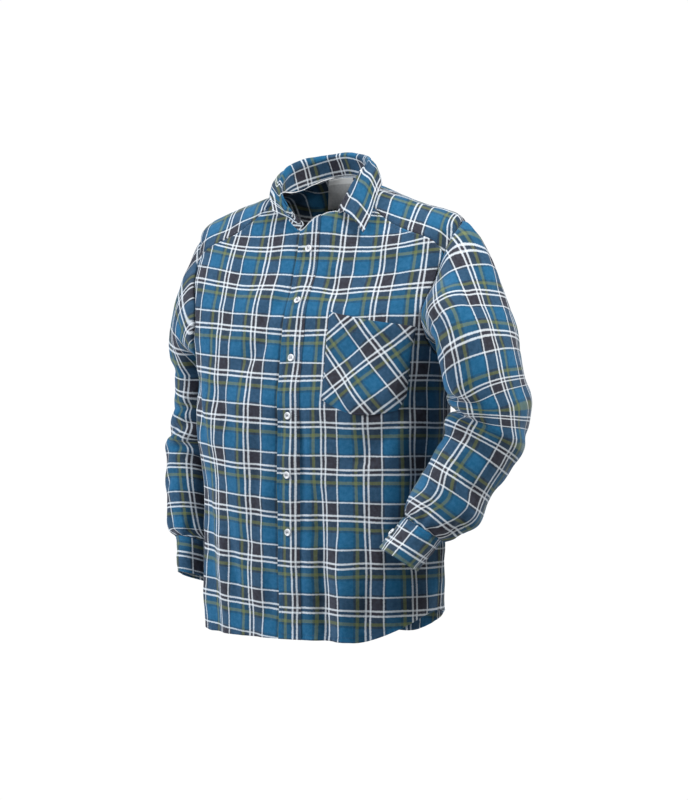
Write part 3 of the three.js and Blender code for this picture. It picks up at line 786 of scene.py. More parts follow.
def add_neck_tape(sheet, shares):
    """White overlocking along a neckline: two threads that wind round its edge."""
    edge, normals = sheet.grid[-1], sheet.normals()[-1]
    first, last = (int(share * (len(edge) - 1)) for share in shares)
    length = running_length(edge)
    places = np.arange(length[first], length[last], 0.5)
    out = unit(resample(places, length, normals))
    path = resample(places, length, edge) - (0, 0, 1.0) - out * 0.3
    for phase in (0, np.pi):
        turn = places * 2 * np.pi / TAPE_PITCH + phase
        wave = np.sin(turn)[:, None] * np.array([0, 0, 1.3]) + out * (0.7 * np.cos(turn)[:, None])
        TAPE_LINES.append(path + wave)


def make_placket():
    """The strip with the buttonholes, on the free edge of the left front."""
    t = panel_rows()
    x = lerp(-HALF_PLACKET, HALF_PLACKET, spaced(16)[None, :])
    angles = front_angle(x, t[:, None])
    sheet = panel_sheet(t, angles, PLACKET_ORIGIN, 1, lift=SEAM_GAP + PATCH_CLOTH)
    sheet.topstitch(("first", "last"), EDGE_STITCH, depth=0.35, width=1.1)
    sheet.line("bottom", HEM_STITCH)
    add_neck_tape(sheet, (0, 1))
    sheet.build("placket_cloth", "placket_front", PATCH_CLOTH, rests_on=["front_left_cloth"])
    return sheet


def make_back():
    t = panel_rows() * YOKE_V
    inset = np.where(t <= UNDERARM, 0, armhole["back"](t))[:, None]
    end = right_seam(t)[:, None] + 360 - inset
    angles = lerp(inset, end, spaced(190)[None, :])
    rows = hem_row(angles, t[:, None])
    # The panel's angles run on past 180, so the cloth is measured from its middle
    across = plan_arc(smooth_body(angles, rows))
    middle = np.array([np.interp(90, line, arcs) for line, arcs in zip(angles, across)])
    wrapped = np.where(angles > 180, angles - 360, angles)
    v = meridian_height(wrapped, rows)
    sheet = Sheet(body(angles, rows), middle[:, None] - across, v, BACK_ORIGIN)
    for edge in ("first", "last", "top"):
        sheet.press_seam(edge)
    finish_hem(sheet)
    sheet.build("back_cloth", "back", hem_thickness(sheet), rests_on=["yoke_cloth"])


def armhole_path(turn, side):
    """Angle and row of the armhole's edge for a turn from the underarm through the front."""
    count = len(ARMHOLE["v"]) - 1
    row_at = curve(np.arange(count + 1.0), ARMHOLE["v"])
    position = np.asarray(turn, float) / 180 * count
    in_front = position <= count
    v = row_at(np.where(in_front, position, 2 * count - position))
    angle = np.where(in_front, -armhole["front"](v), armhole["back"](v))
    return (angle if side > 0 else 180 - angle), v


def ridge_height(x):
    """The height of the shoulder's ridge at a distance from the middle."""
    v = np.linspace(YOKE_V, 1, 60)
    ridge = smooth_body(np.zeros(60), v)
    order = np.argsort(ridge[:, 0])
    return np.interp(np.abs(x), ridge[order, 0], ridge[order, 2])


def yoke_edge():
    """The yoke's lower edge as angle and row: armhole, seam across the back, armhole."""
    near_seam = [YOKE_V, YOKE_V + 0.0003]
    dense = np.concatenate([near_seam, np.linspace(YOKE_V + 0.001, ARMHOLE_TOP, 26)])
    over_front = [(-float(armhole["front"](v)), v) for v in dense]
    over_back = [(float(armhole["back"](v)), v) for v in dense[::-1]]
    side = over_front + over_back[1:]
    first = ARMHOLE["back"][YOKE_ROW]
    behind = [(angle, YOKE_V) for angle in np.linspace(first, 180 - first, 130)[1:-1]]
    mirrored = [(180 - angle, v) for angle, v in reversed(side)]
    return np.array(side + behind + mirrored)


def make_yoke():
    """The yoke runs from the front seams over both shoulders to the back."""
    low = yoke_edge()
    start = low[0, 0]
    round_neck = (low[:, 0] - start) / (180 - 2 * start)
    top_angles = lerp(-YOKE_NECK_ANGLE, 180 + YOKE_NECK_ANGLE, round_neck)
    share = spaced(56)[:, None]
    angles = lerp(low[None, :, 0], top_angles[None, :], share)
    rows = lerp(low[None, :, 1], 1, share)
    x, y, z = np.moveaxis(smooth_body(angles, rows), -1, 0)
    # The cloth turns down towards the armhole, where there is more of it than width
    turned_down = YOKE_TURNED_DOWN * smoothstep(np.abs(x), 212, 240)
    u = np.sign(x) * (np.abs(x) * 1.06 + turned_down)
    over = y - ring["mid"](rows)
    v = np.sign(over) * np.hypot(over, np.maximum(ridge_height(x) - z, 0))
    above_seam = meridian_height(angles, rows) - meridian_height(angles, YOKE_V)
    behind = smoothstep(np.sin(np.radians(angles)), 0.35, 0.8)
    v = lerp(v, YOKE_BACK_CLOTH - above_seam, behind)
    sheet = Sheet(body(angles, rows), u, v, (BACK_ORIGIN[0], 0))
    for edge in ("first", "last", "bottom"):
        sheet.press_seam(edge, felled=5)
        sheet.line(edge, YOKE_STITCH)
    sheet.build("yoke_cloth", "yoke", CLOTH)


def sleeve_lines(rings):
    """A sleeve's rings as smooth curves of the share of its length, and its length."""
    lengths = running_length(np.stack([rings["x"], rings["y"], rings["z"]], axis=-1))
    named = {name: curve(lengths / lengths[-1], values) for name, values in rings.items()}
    return named, lengths[-1]


def sleeve_frame(lines, share):
    """A sleeve's centre, its direction and the way out to its upper side."""
    ahead = point_of(lines, "x y z", np.minimum(share + 0.02, 1))
    behind = point_of(lines, "x y z", np.maximum(share - 0.02, 0))
    out = unit(point_of(lines, "out_x out_y out_z", share))
    return point_of(lines, "x y z", share), unit(ahead - behind), out


def sleeve_tube(lines, folds, share, turn, side):
    """Points of a sleeve at a share of its length and a turn from the underarm edge."""
    centre, tangent, out = sleeve_frame(lines, share)
    across = -side * unit(np.cross(out, tangent))
    sink = 0
    for at, angle, lean, width, spread, depth in zip(*folds.values()):
        away = angle_between(turn, angle) / spread
        along = (share - at - lean * np.sin(np.radians(turn - angle))) / width
        sink = sink + depth * np.exp(-away * away - along * along)
    half = lines["out"](share) - sink
    width = lines["across"](share) - sink
    cos, sin = np.cos(np.radians(turn)), np.sin(np.radians(turn))
    return centre - out * (half * cos)[..., None] + across * (width * sin)[..., None]


# Creases of the sleeves as turn and share of the length of their start, middle and end
CREASE_COLUMNS = "turn_1 share_1 turn_2 share_2 turn_3 share_3 width depth"
LEFT_CREASES = table(CREASE_COLUMNS, [
    [40, 0.10, 70, 0.20, 95, 0.31, 10, 4.0],
    [20, 0.16, 50, 0.27, 80, 0.37, 9, 3.5],
    [130, 0.06, 135, 0.16, 130, 0.28, 10, 2.5],
    [10, 0.46, 60, 0.49, 115, 0.485, 8, 4.0],
    [0, 0.53, 55, 0.555, 110, 0.60, 8, 5.0],
    [20, 0.60, 75, 0.65, 120, 0.71, 9, 3.5],
    [150, 0.50, 195, 0.55, 235, 0.56, 11, 3.0],
    [60, 0.72, 100, 0.79, 140, 0.83, 9, 3.0],
    [120, 0.86, 135, 0.93, 140, 0.99, 7, 3.5],
    [60, 0.88, 70, 0.94, 72, 0.99, 6, 3.0],
    [180, 0.88, 184, 0.94, 186, 0.99, 6, 3.0],
    [240, 0.87, 244, 0.94, 246, 0.99, 6, 3.0],
    [300, 0.16, 280, 0.26, 260, 0.36, 11, 4.0],
    [330, 0.48, 290, 0.50, 250, 0.49, 9, 4.0],
    [340, 0.58, 300, 0.62, 260, 0.66, 9, 4.0],
])
RIGHT_CREASES = table(CREASE_COLUMNS, [
    [60, 0.12, 100, 0.24, 140, 0.34, 10, 3.0],
    [150, 0.14, 150, 0.26, 140, 0.40, 10, 2.5],
    [40, 0.44, 85, 0.49, 140, 0.52, 8, 5.0],
    [60, 0.60, 100, 0.565, 160, 0.53, 8, 4.5],
    [40, 0.66, 90, 0.66, 140, 0.70, 8, 4.0],
    [80, 0.74, 120, 0.80, 150, 0.86, 8, 3.0],
    [110, 0.90, 115, 0.95, 118, 0.995, 6, 3.0],
    [60, 0.90, 63, 0.95, 64, 0.995, 6, 3.0],
    [170, 0.89, 172, 0.95, 174, 0.995, 6, 3.0],
    [240, 0.90, 242, 0.95, 244, 0.995, 6, 3.0],
    [290, 0.14, 270, 0.26, 250, 0.36, 11, 4.0],
    [320, 0.46, 280, 0.50, 240, 0.50, 9, 4.0],
    [330, 0.58, 290, 0.62, 250, 0.66, 9, 4.0],
])


# Cloth along a sleeve, in whole repeats of the check, against the distance along its middle:
# round the outside of the elbow there is more cloth than distance
LEFT_CLOTH = table("middle cloth", [
    [-15, 0], [48, 72], [111, 144], [184, 216], [231, 288], [272, 360], [338, 432], [404, 504], [450, 554],
])
RIGHT_CLOTH = table("middle cloth", [
    [-25, 0], [68, 72], [167, 144], [251, 216], [322, 288], [383, 360], [450, 440],
])
# Each sleeve: its shape, how far the check tilts round it above and below its elbow, its cuff's
# direction, and where the check starts on both
SLEEVES = {
    "left": {
        "side": 1,
        "rings": LEFT_SLEEVE,
        "folds": LEFT_SLEEVE_FOLDS,
        "creases": LEFT_CREASES,
        "cloth": LEFT_CLOTH,
        "slant": (0.2, 0),
        "origin": (-38, 0),
        "cuff_axis": (-0.445, -0.5, -0.74),
        "cuff_origin": (166, 40),
    },
    "right": {
        "side": -1,
        "rings": RIGHT_SLEEVE,
        "folds": RIGHT_SLEEVE_FOLDS,
        "creases": RIGHT_CREASES,
        "cloth": RIGHT_CLOTH,
        "slant": (0.1, 0.1),
        "origin": (-105, 0),
        "cuff_axis": (0.12, -0.13, -0.98),
        "cuff_origin": (240, 42),
    },
}


def make_sleeve(which):
    arm = SLEEVES[which]
    side, folds = arm["side"], arm["folds"]
    lines, length = sleeve_lines(arm["rings"])
    head, end = [0, 0.0015, 0.004, 0.008], [0.99, 0.995, 0.998, 1]
    share = np.concatenate([head, np.linspace(0.014, 0.985, 190), end])
    turn = np.arange(0, 360, 2.25)
    shares, turns = np.meshgrid(share, turn, indexing="ij")
    tube = sleeve_tube(lines, folds, shares, turns, side)
    angle, row = armhole_path(turn, side)
    loop, normal = body(angle, row), body_normal(angle, row)
    blend = smoothstep(shares, 0, SLEEVE_BLEND)[..., None]
    fullness = 4 * blend * (1 - blend) * SLEEVE_HEAD_FULLNESS
    smooth = lerp(loop[None], tube, blend) + normal[None] * fullness

    away_from_seam = smoothstep(shares, 0, 0.06)
    depth = -ripple(smooth) * away_from_seam
    for row in zip(*arm["creases"].values()):
        path = sleeve_tube(lines, folds, np.array(row[1:6:2]), np.array(row[0:6:2]), side)
        centre = sleeve_frame(lines, np.array(row[3]))[0]
        depth += crease(smooth - centre, path - centre, row[6], row[7]) * away_from_seam
    gathers = np.sin(np.radians(turns * 15 + 40 * waves(smooth, 90, 13)))
    depth += 0.9 * gathers * smoothstep(shares, 0.93, 0.995)
    grid = smooth + side * grid_normals(smooth, looped=True) * depth[..., None]

    centre, tangent, _ = sleeve_frame(lines, share)
    lift = ((smooth - centre[:, None]) * tangent[:, None]).sum(axis=-1)
    around = arc(np.concatenate([smooth, smooth[:, :1]], axis=1), 1)
    top = np.array([np.interp(180, np.append(turn, 360), line) for line in around])
    u = top[:, None] - around[:, :-1]
    middle = share[:, None] * length + lift
    slant = lerp(*arm["slant"], smoothstep(middle, 130, 230))
    v = side * curve(arm["cloth"]["middle"], arm["cloth"]["cloth"])(middle - slant * u)
    sheet = Sheet(grid, u, v, arm["origin"], looped=True, facing=-side)
    sheet.press_seam("bottom")
    sheet.build(f"sleeve_{which}_cloth", f"sleeve_{which}", CLOTH, rests_on=[f"front_{which}_cloth"])


# Angles at which a cuff starts and at which its upper end begins to lift off the lower one
CUFF_START = 150
CUFF_LIFT_FROM = 325
CUFF_LIFT = CUFF_CLOTH + 0.9


def cuff_shape(arm):
    lines, _ = sleeve_lines(arm["rings"])
    centre, tangent, out = sleeve_frame(lines, np.array(1.0))
    half = arm["rings"]["out"][-1]
    return {
        "centre": centre,
        "out": out,
        "across": -arm["side"] * unit(np.cross(out, tangent)),
        "axis": unit(np.array(arm["cuff_axis"])),
        "half": half,
        "width": arm["rings"]["across"][-1],
        "overlap": np.degrees(CUFF_OVERLAP / half),
    }


def cuff_point(cuff, turn, down):
    angle = np.radians(turn + CUFF_START)
    radial = smoothstep(turn, CUFF_LIFT_FROM, 360) * CUFF_LIFT
    return (
        cuff["centre"]
        + cuff["out"] * ((cuff["half"] + radial) * np.cos(angle))[..., None]
        + cuff["across"] * ((cuff["width"] + radial) * np.sin(angle))[..., None]
        + cuff["axis"] * (SEAM_GAP + down)[..., None]
    )


def make_cuff(which, cuff):
    side, origin = SLEEVES[which]["side"], SLEEVES[which]["cuff_origin"]
    around, down = lerp(0, 360 + cuff["overlap"], spaced(110)), CUFF_HEIGHT * spaced(22)
    turns, downs = np.meshgrid(around, down)
    grid = cuff_point(cuff, turns, downs)
    sheet = Sheet(grid, -arc(grid, 1), -side * downs, origin, facing=side)
    soft = 0.7 * waves(grid, 46, 17) + 0.3 * waves(grid, 17, 19)
    slack = 1.2 * np.sin(np.radians(turns * 3 + 60)) * smoothstep(downs, 10, CUFF_HEIGHT)
    sheet.dent((soft + slack) * smoothstep(downs, 0, 8))
    sheet.topstitch(("top", "first", "last", "bottom"), EDGE_STITCH)
    sheet.build(f"cuff_{which}_cloth", f"cuff_{which}", CUFF_CLOTH)


def spline(rows, places):
    """Rows of points at places between 0 and 1 on smooth lines through some rows."""
    rows = np.asarray(rows)
    lengths = np.linalg.norm(np.diff(rows, axis=0), axis=-1).mean(axis=1)
    knots = np.concatenate([[0], np.cumsum(lengths)]) / lengths.sum()
    tangents = np.gradient(rows, knots, axis=0)
    out = []
    for x in places:
        i = min(np.searchsorted(knots, x, side="right") - 1, len(knots) - 2)
        step = knots[i + 1] - knots[i]
        t = (x - knots[i]) / step
        out.append(
            rows[i] * (1 + 2 * t) * (1 - t) ** 2
            + tangents[i] * (t * (1 - t) ** 2 * step)
            + rows[i + 1] * (t * t * (3 - 2 * t))
            + tangents[i + 1] * (t * t * (t - 1) * step)
        )
    return np.array(out)


def make_collar():
    """The collar rises from the neck seam, rolls over at its fold and falls outwards."""
    station = np.linspace(0, 1, len(COLLAR["seam"]))
    lines = {name: curve(station, values) for name, values in COLLAR.items()}
    t = spaced(150)
    seam = body(lines["seam"](t), np.ones_like(t))
    fold = point_of(lines, "fold_x fold_y fold_z", t)
    edge = point_of(lines, "edge_x edge_y edge_z", t)
    up = np.array([0, 0, 1.0])
    outwards = unit((edge - fold) * (1, 1, 0))
    rolled = fold + outwards * COLLAR_ROLL - up * COLLAR_ROLL / 2
    inside = fold - up * COLLAR_ROLL / 2
    top = lerp(fold, rolled, 0.5)
    top[:, 2] = fold[:, 2] + 1
    start = seam + unit(fold - seam) * COLLAR_SEAM_GAP
    middle = lerp(start, inside, 0.5)
    rows = [start, middle, inside, top, rolled]
    for share, bulge in ((0.35, 3), (0.7, 2), (1, 0)):
        rows.append(lerp(rolled, edge, share) + (outwards + up) * bulge)
    grid = spline(rows, spaced(64))
    # Each leaf is measured from its own front edge, so that the check runs parallel to both
    along = arc(grid, 1)
    length_near_edge = along[-6, -1]
    from_right = length_near_edge - (along[:, -1:] - along)
    u = lerp(along, from_right, smoothstep(t, 0.3, 0.7))
    across = arc(grid, 0)
    grid = grid - grid_normals(grid) * COLLAR_CLOTH / 2
    sheet = Sheet(grid, u, across - across[-1:], COLLAR_ORIGIN, facing=-1)
    sheet.dent(0.5 * waves(grid, 60, 41) + 0.2 * waves(grid, 20, 43))
    distances = edge_distances(sheet.grid)
    for side in ("first", "last", "top"):
        sheet.dent(0.3 * bell(distances[side] - COLLAR_STITCH, 1.2))
    sheet.line("top", COLLAR_STITCH, ends=(0.03, 0.97))
    sheet.build("collar_cloth", "collar", COLLAR_CLOTH, held="folded", rests_on=["yoke_cloth"])


# The pocket's turn to the front's grain, and the front's cloth for each degree round the body
POCKET_TURN = 126
POCKET_GAP = 0.5
POCKET_CLOTH_PER_DEGREE = 2.3


def make_pocket():
    """The chest pocket is cut on the bias and lies on the left front."""
    sides, edges = curves(POCKET_SIDES, "down"), curves(POCKET_EDGES, "across")
    down, across = np.meshgrid(spaced(60), spaced(60), indexing="ij")
    left, right = sides["left"](down), sides["right"](down)
    angle = lerp(left, right, across)
    height = lerp(edges["top"](across), edges["bottom"](across), down)
    row = row_at_height(angle, height)
    grid = body(angle, row, POCKET_GAP + PATCH_CLOTH)
    x = plan_arc(smooth_body(angle, row)) + (left[:, :1] - left[0, 0]) * POCKET_CLOTH_PER_DEGREE
    z = meridian_height(angle, row)
    cos, sin = np.cos(np.radians(POCKET_TURN)), np.sin(np.radians(POCKET_TURN))
    sheet = Sheet(grid, x * cos + z * sin, -x * sin + z * cos, POCKET_ORIGIN, facing=-1)
    distances = edge_distances(sheet.grid)
    # Its rows run down from its open edge, which is the grid's bottom
    opening = distances["bottom"]
    seamed = np.minimum(np.minimum(distances["first"], distances["last"]), distances["top"])
    sheet.dent(0.4 * bell(seamed, 1.4) + 0.25 * bell(seamed - 4, 1))
    slack = smoothstep(seamed, 4, 30) * bell(opening, 34)
    sheet.dent(-2.2 * slack - 0.25 * waves(grid, 13, 51) * np.exp(-seamed / 8))
    sheet.dent(0.35 * bell(opening - POCKET_TOP_STITCH, 1.2))
    sheet.line("bottom", POCKET_TOP_STITCH)
    for edge in ("first", "last", "top"):
        sheet.line(edge, POCKET_STITCH)
    sheet.build("pocket_cloth", "pocket", PATCH_CLOTH, rests_on=["front_left_cloth"])


def make_label():
    half = LABEL["width"] / 2
    x = lerp(LABEL["middle"] + half, LABEL["middle"] - half, spaced(20))
    angle = 90 - np.degrees(np.arctan2(x, ring["aft"](1.0) - CLOTH))
    down = LABEL["height"] * spaced(22)
    top = float(smooth_body(90.0, 1.0)[2]) - LABEL["drop"]
    row = row_at_height(np.full(down.shape, 90.0), top - down)
    angles, rows = np.meshgrid(angle, row)
    downs = np.broadcast_to(down[:, None], angles.shape)
    lower = smoothstep(downs, 4, LABEL["height"])
    grid = body(angles, rows, -CLOTH - 0.5)
    away = 0.6 + 1.6 * lower + 0.3 * waves(grid, 24, 61) * lower
    grid = grid - body_normal(angles, rows) * away[..., None]
    u = np.broadcast_to(np.sort(x), angles.shape)
    sheet = Sheet(grid, u, -downs, (half - LABEL["middle"], 0))
    sheet.line("bottom", LABEL_STITCH, thread="white")
    return sheet.build(
        "label_cloth", "neck_label", LABEL["cloth"], slot="label", rests_on=["collar_cloth"]
    )


def ring_faces(count, sides, start=0):
    """Faces between rings of points that follow each other, from the point numbered start."""
    faces = []
    for i in range(count - 1):
        for k in range(sides):
            a, b = start + i * sides + k, start + i * sides + (k + 1) % sides
            faces.append((a, b, b + sides, a + sides))
    return faces


def make_button_mesh():
    """A four-hole button in metres, facing up, with its thread."""
    radius = BUTTON_DIAMETER / 2
    profile = [
        (0, 0), (radius - 0.9, 0), (radius - 0.25, 0.3), (radius, 0.9), (radius - 0.05, 1.6),
        (radius - 0.4, 2.15), (radius - 0.9, 2.35), (radius - 1.35, 2.2), (radius - 1.8, 1.75),
        (radius - 2.4, 1.5), (0, 1.45),
    ]
    turns = 2 * np.pi * np.arange(BUTTON_SIDES) / BUTTON_SIDES
    points = [(r * np.cos(turn), r * np.sin(turn), z) for r, z in profile for turn in turns]
    button = new_mesh("button_blank", points, ring_faces(len(profile), BUTTON_SIDES))
    merge = button.modifiers.new("merge", "WELD")
    merge.merge_threshold = 0.01 * MM
    drill = []
    for sx in (-1, 1):
        for sy in (-1, 1):
            bpy.ops.mesh.primitive_cylinder_add(
                vertices=20,
                radius=HOLE_RADIUS * MM,
                depth=8 * MM,
                location=(HOLE_PLACE * sx * MM, HOLE_PLACE * sy * MM, 1 * MM),
            )
            drill.append(bpy.context.object)
    for hole in drill:
        cut = button.modifiers.new("hole", "BOOLEAN")
        cut.object = hole
        cut.solver = "EXACT"
    mesh = bpy.data.meshes.new_from_object(button.evaluated_get(bpy.context.evaluated_depsgraph_get()))
    mesh.name = "button"
    mesh.shade_smooth()
    for piece in [button, *drill]:
        bpy.data.objects.remove(piece)
    return mesh


def add_button(name, node, mesh, seat, normal, up):
    """Seats a button on the cloth, with its four holes square to the placket."""
    z = Vector(normal).normalized()
    x = Vector(up).cross(z).normalized()
    y = z.cross(x)
    place = Matrix((x, y, z)).transposed().to_4x4()
    place.translation = Vector(seat) * MM + z * SEAM_GAP * MM
    placed = mesh.copy()
    placed.transform(place)
    declare(link(bpy.data.objects.new(name, placed)), node)
    add_button_thread(place)


def add_button_thread(place):
    """Two parallel bars of thread through the four holes."""
    y = np.linspace(-HOLE_PLACE, HOLE_PLACE, 7)
    height = 1.5 + 0.55 * np.cos(y / HOLE_PLACE * np.pi / 2)
    for side in (-HOLE_PLACE, HOLE_PLACE):
        for shift in (-0.22, 0.22):
            bar = np.stack([np.full(7, side + shift), y, height], axis=-1)
            BUTTON_THREADS.append(np.array([place @ Vector(p * MM) for p in bar]) / MM)


def tube_mesh(name, lines, radius, sides=6):
    """Round threads along short lines of points, as one mesh."""
    points, faces = [], []
    turn = np.linspace(0, 2 * np.pi, sides, endpoint=False)[None, :, None]
    for line in lines:
        start = sum(len(p) for p in points)
        tangent = unit(np.gradient(line, axis=0))
        side = unit(np.cross(tangent, np.array([0.31, 0.87, 0.38])))
        other = np.cross(tangent, side)
        circle = np.cos(turn) * side[:, None] + np.sin(turn) * other[:, None]
        points.append((line[:, None] + circle * radius).reshape(-1, 3))
        faces.extend(ring_faces(len(line), sides, start))
        faces.append(tuple(start + k for k in range(sides))[::-1])
        faces.append(tuple(start + (len(line) - 1) * sides + k for k in range(sides)))
    return new_mesh(name, np.concatenate(points), faces)


def make_stitches(name, lines):
    """Each stitch is a short spindle of thread that dips into the cloth at both ends."""
    outline = [(-0.5, 0.0, -0.15), (-0.3, 0.2, 0.13), (0.3, 0.2, 0.13), (0.5, 0.0, -0.15)]
    around = [(1, 0), (0.31, 0.95), (-0.81, 0.59), (-0.81, -0.59), (0.31, -0.95)]
    points, faces = [], []
    for path, outward in lines:
        starts = running_length(path)
        places = np.arange(STITCH_PITCH / 2, starts[-1], STITCH_PITCH)
        middle = resample(places, starts, path)
        along = unit(resample(places + 0.8, starts, path) - resample(places - 0.8, starts, path))
        up = unit(resample(places, starts, outward))
        side = np.cross(along, up)
        for m, a, u, s in zip(middle, along, up, side):
            base = len(points)
            for x, r, z in outline:
                spine = m + a * (x * STITCH_LENGTH) + u * z
                if r:
                    points.extend(spine + (u * (p * 0.75) + s * q) * r for p, q in around)
                else:
                    points.append(spine)
            for k in range(5):
                n = (k + 1) % 5
                faces.append((base, base + 1 + n, base + 1 + k))
                faces.append((base + 1 + k, base + 1 + n, base + 6 + n, base + 6 + k))
                faces.append((base + 6 + k, base + 6 + n, base + 11))
    return new_mesh(name, points, faces)


def srgb(red, green, blue):
    """A colour given as it is seen (0 to 255), as the linear colour that shaders take."""
    values = [v / 255 for v in (red, green, blue)]
    return tuple(v / 12.92 if v < 0.04045 else ((v + 0.055) / 1.055) ** 2.4 for v in values) + (1.0,)


class Nodes:
    """Adds and links nodes of a material or a group."""

    def __init__(self, tree):
        self.tree = tree

    def add(self, kind, *values, **settings):
        node = self.tree.nodes.new(kind)
        for name, value in settings.items():
            setattr(node, name, value)
        for socket, value in zip(node.inputs, values):
            self.put(socket, value)
        return node

    def put(self, socket, value):
        if isinstance(value, bpy.types.NodeSocket):
            self.tree.links.new(value, socket)
        elif value is not None:
            socket.default_value = value

    def math(self, operation, *values):
        return self.add("ShaderNodeMath", *values, operation=operation).outputs[0]

    def mix(self, factor, a, b, blend="MIX"):
        node = self.add("ShaderNodeMix", data_type="RGBA", blend_type=blend)
        self.put(node.inputs["Factor"], factor)
        self.put(node.inputs["A"], a)
        self.put(node.inputs["B"], b)
        return node.outputs["Result"]

    def centred(self, value, middle, gain):
        """A value measured from a middle and multiplied by a gain."""
        return self.math("MULTIPLY", self.math("SUBTRACT", value, middle), gain)

    def noise(self, vector, scale, detail=2, roughness=0.5):
        node = self.add("ShaderNodeTexNoise")
        self.put(node.inputs["Vector"], vector)
        set_values(node, {"Scale": scale, "Detail": detail, "Roughness": roughness})
        return node.outputs["Fac"]

    def relief(self, shader, height, strength, distance):
        """Gives a shader a fine relief; distance is in metres."""
        bump = self.add("ShaderNodeBump")
        set_values(bump, {"Strength": strength, "Distance": distance})
        self.put(bump.inputs["Height"], height)
        self.put(shader.inputs["Normal"], bump.outputs["Normal"])


def set_values(node, values):
    for name, value in values.items():
        node.inputs[name].default_value = value


def start_material(name):
    """A new material, its nodes and its shader."""
    material = bpy.data.materials.new(name)
    material.use_nodes = True
    return material, Nodes(material.node_tree), material.node_tree.nodes["Principled BSDF"]


# The check: where each band of the sett starts, its colour, and how much its yarn shows
CHARCOAL = srgb(43, 41, 49)
BLUE = srgb(20, 86, 124)
DEEP_BLUE = srgb(21, 60, 84)
OLIVE = srgb(96, 106, 66)
WHITE = srgb(210, 217, 224)
SETT_BANDS = [
    (0.0, CHARCOAL, 0.5),
    (0.031, WHITE, 0.85),
    (0.071, CHARCOAL, 0.34),
    (0.325, WHITE, 0.75),
    (0.356, DEEP_BLUE, 0.3),
    (0.40, BLUE, 0.3),
    (0.69, DEEP_BLUE, 0.3),
    (0.738, OLIVE, 0.42),
    (0.808, DEEP_BLUE, 0.3),
    (0.929, WHITE, 0.85),
    (0.969, CHARCOAL, 0.5),
]
BAND_BLUR = 0.014

# The nap over the weave, in repeats of its texture for each metre, and the twill's pitch in metres
NAP_SCALE = 900
TUFT_SCALE = 160
WOBBLE_SCALE = 420
DRIFT_SCALE = 11
TWILL_PITCH = 0.0016
HAZE = srgb(120, 145, 170)
SHEEN = srgb(190, 205, 225)


def make_sett_group():
    """Colour and strength of the yarn at a place across the cloth, in metres."""
    group = bpy.data.node_groups.new("sett", "ShaderNodeTree")
    group.interface.new_socket("Place", in_out="INPUT", socket_type="NodeSocketFloat")
    group.interface.new_socket("Color", in_out="OUTPUT", socket_type="NodeSocketColor")
    group.interface.new_socket("Strength", in_out="OUTPUT", socket_type="NodeSocketFloat")
    nodes = Nodes(group)
    inputs = nodes.add("NodeGroupInput")
    outputs = nodes.add("NodeGroupOutput")
    turns = nodes.math("DIVIDE", inputs.outputs["Place"], SETT * MM)
    share = nodes.math("FRACT", nodes.math("ADD", turns, 100.0))
    ramp = nodes.add("ShaderNodeValToRGB", share)
    elements = ramp.color_ramp.elements
    stops = []
    for i, (start, color, strength) in enumerate(SETT_BANDS):
        end = SETT_BANDS[i + 1][0] if i + 1 < len(SETT_BANDS) else 1.0
        stops.append((start + BAND_BLUR / 2, color, strength))
        stops.append((end - BAND_BLUR / 2, color, strength))
    while len(elements) < len(stops):
        elements.new(0.5)
    for element, (place, color, strength) in zip(elements, stops):
        element.position = place
        element.color = (*color[:3], strength)
    nodes.put(outputs.inputs["Color"], ramp.outputs["Color"])
    nodes.put(outputs.inputs["Strength"], ramp.outputs["Alpha"])
    return group


def make_flannel():
    """Brushed twill: a warp and a weft of one sett, blurred a little by the nap."""
    material, nodes, shader = start_material("flannel")
    cloth = nodes.add("ShaderNodeUVMap", uv_map="cloth").outputs["UV"]
    place = nodes.add("ShaderNodeSeparateXYZ", cloth)
    wobble = nodes.centred(nodes.noise(cloth, WOBBLE_SCALE, 2), 0.5, 0.0018)
    drift = nodes.centred(nodes.noise(cloth, DRIFT_SCALE, 1), 0.5, 0.006)
    shift = nodes.math("ADD", wobble, drift)
    group = make_sett_group()
    yarns = []
    for axis in ("X", "Y"):
        sett = nodes.add("ShaderNodeGroup", node_tree=group)
        nodes.put(sett.inputs["Place"], nodes.math("ADD", place.outputs[axis], shift))
        yarns.append(sett.outputs)
    warp, weft = yarns
    total = nodes.math("ADD", warp["Strength"], weft["Strength"])
    weft_share = nodes.math("DIVIDE", weft["Strength"], total)
    diagonal = nodes.math("ADD", place.outputs["X"], place.outputs["Y"])
    twill = nodes.math("SINE", nodes.math("MULTIPLY", diagonal, 2 * np.pi / TWILL_PITCH))
    lean = nodes.math("MULTIPLY_ADD", twill, 0.16, weft_share)
    woven = nodes.mix(lean, warp["Color"], weft["Color"])
    nap = nodes.noise(cloth, NAP_SCALE, 3, 0.6)
    tufts = nodes.noise(cloth, TUFT_SCALE, 3, 0.6)
    fibres = nodes.math("MULTIPLY_ADD", tufts, 0.5, nodes.math("MULTIPLY", nap, 0.5))
    level = nodes.math("MULTIPLY_ADD", fibres, 0.9, 0.5)
    shade = nodes.add("ShaderNodeCombineColor", level, level, level).outputs[0]
    worn = nodes.mix(1.0, woven, shade, "MULTIPLY")
    haze = nodes.centred(tufts, 0.35, 0.16)
    nodes.put(shader.inputs["Base Color"], nodes.mix(haze, worn, HAZE))
    set_values(shader, {
        "Roughness": 0.95,
        "Specular IOR Level": 0.15,
        "Sheen Weight": 0.25,
        "Sheen Roughness": 0.45,
        "Sheen Tint": SHEEN,
    })
    height = nodes.math("MULTIPLY_ADD", twill, 0.25, nodes.math("MULTIPLY_ADD", nap, 0.7, tufts))
    nodes.relief(shader, height, 0.5, 0.0004)
    return material


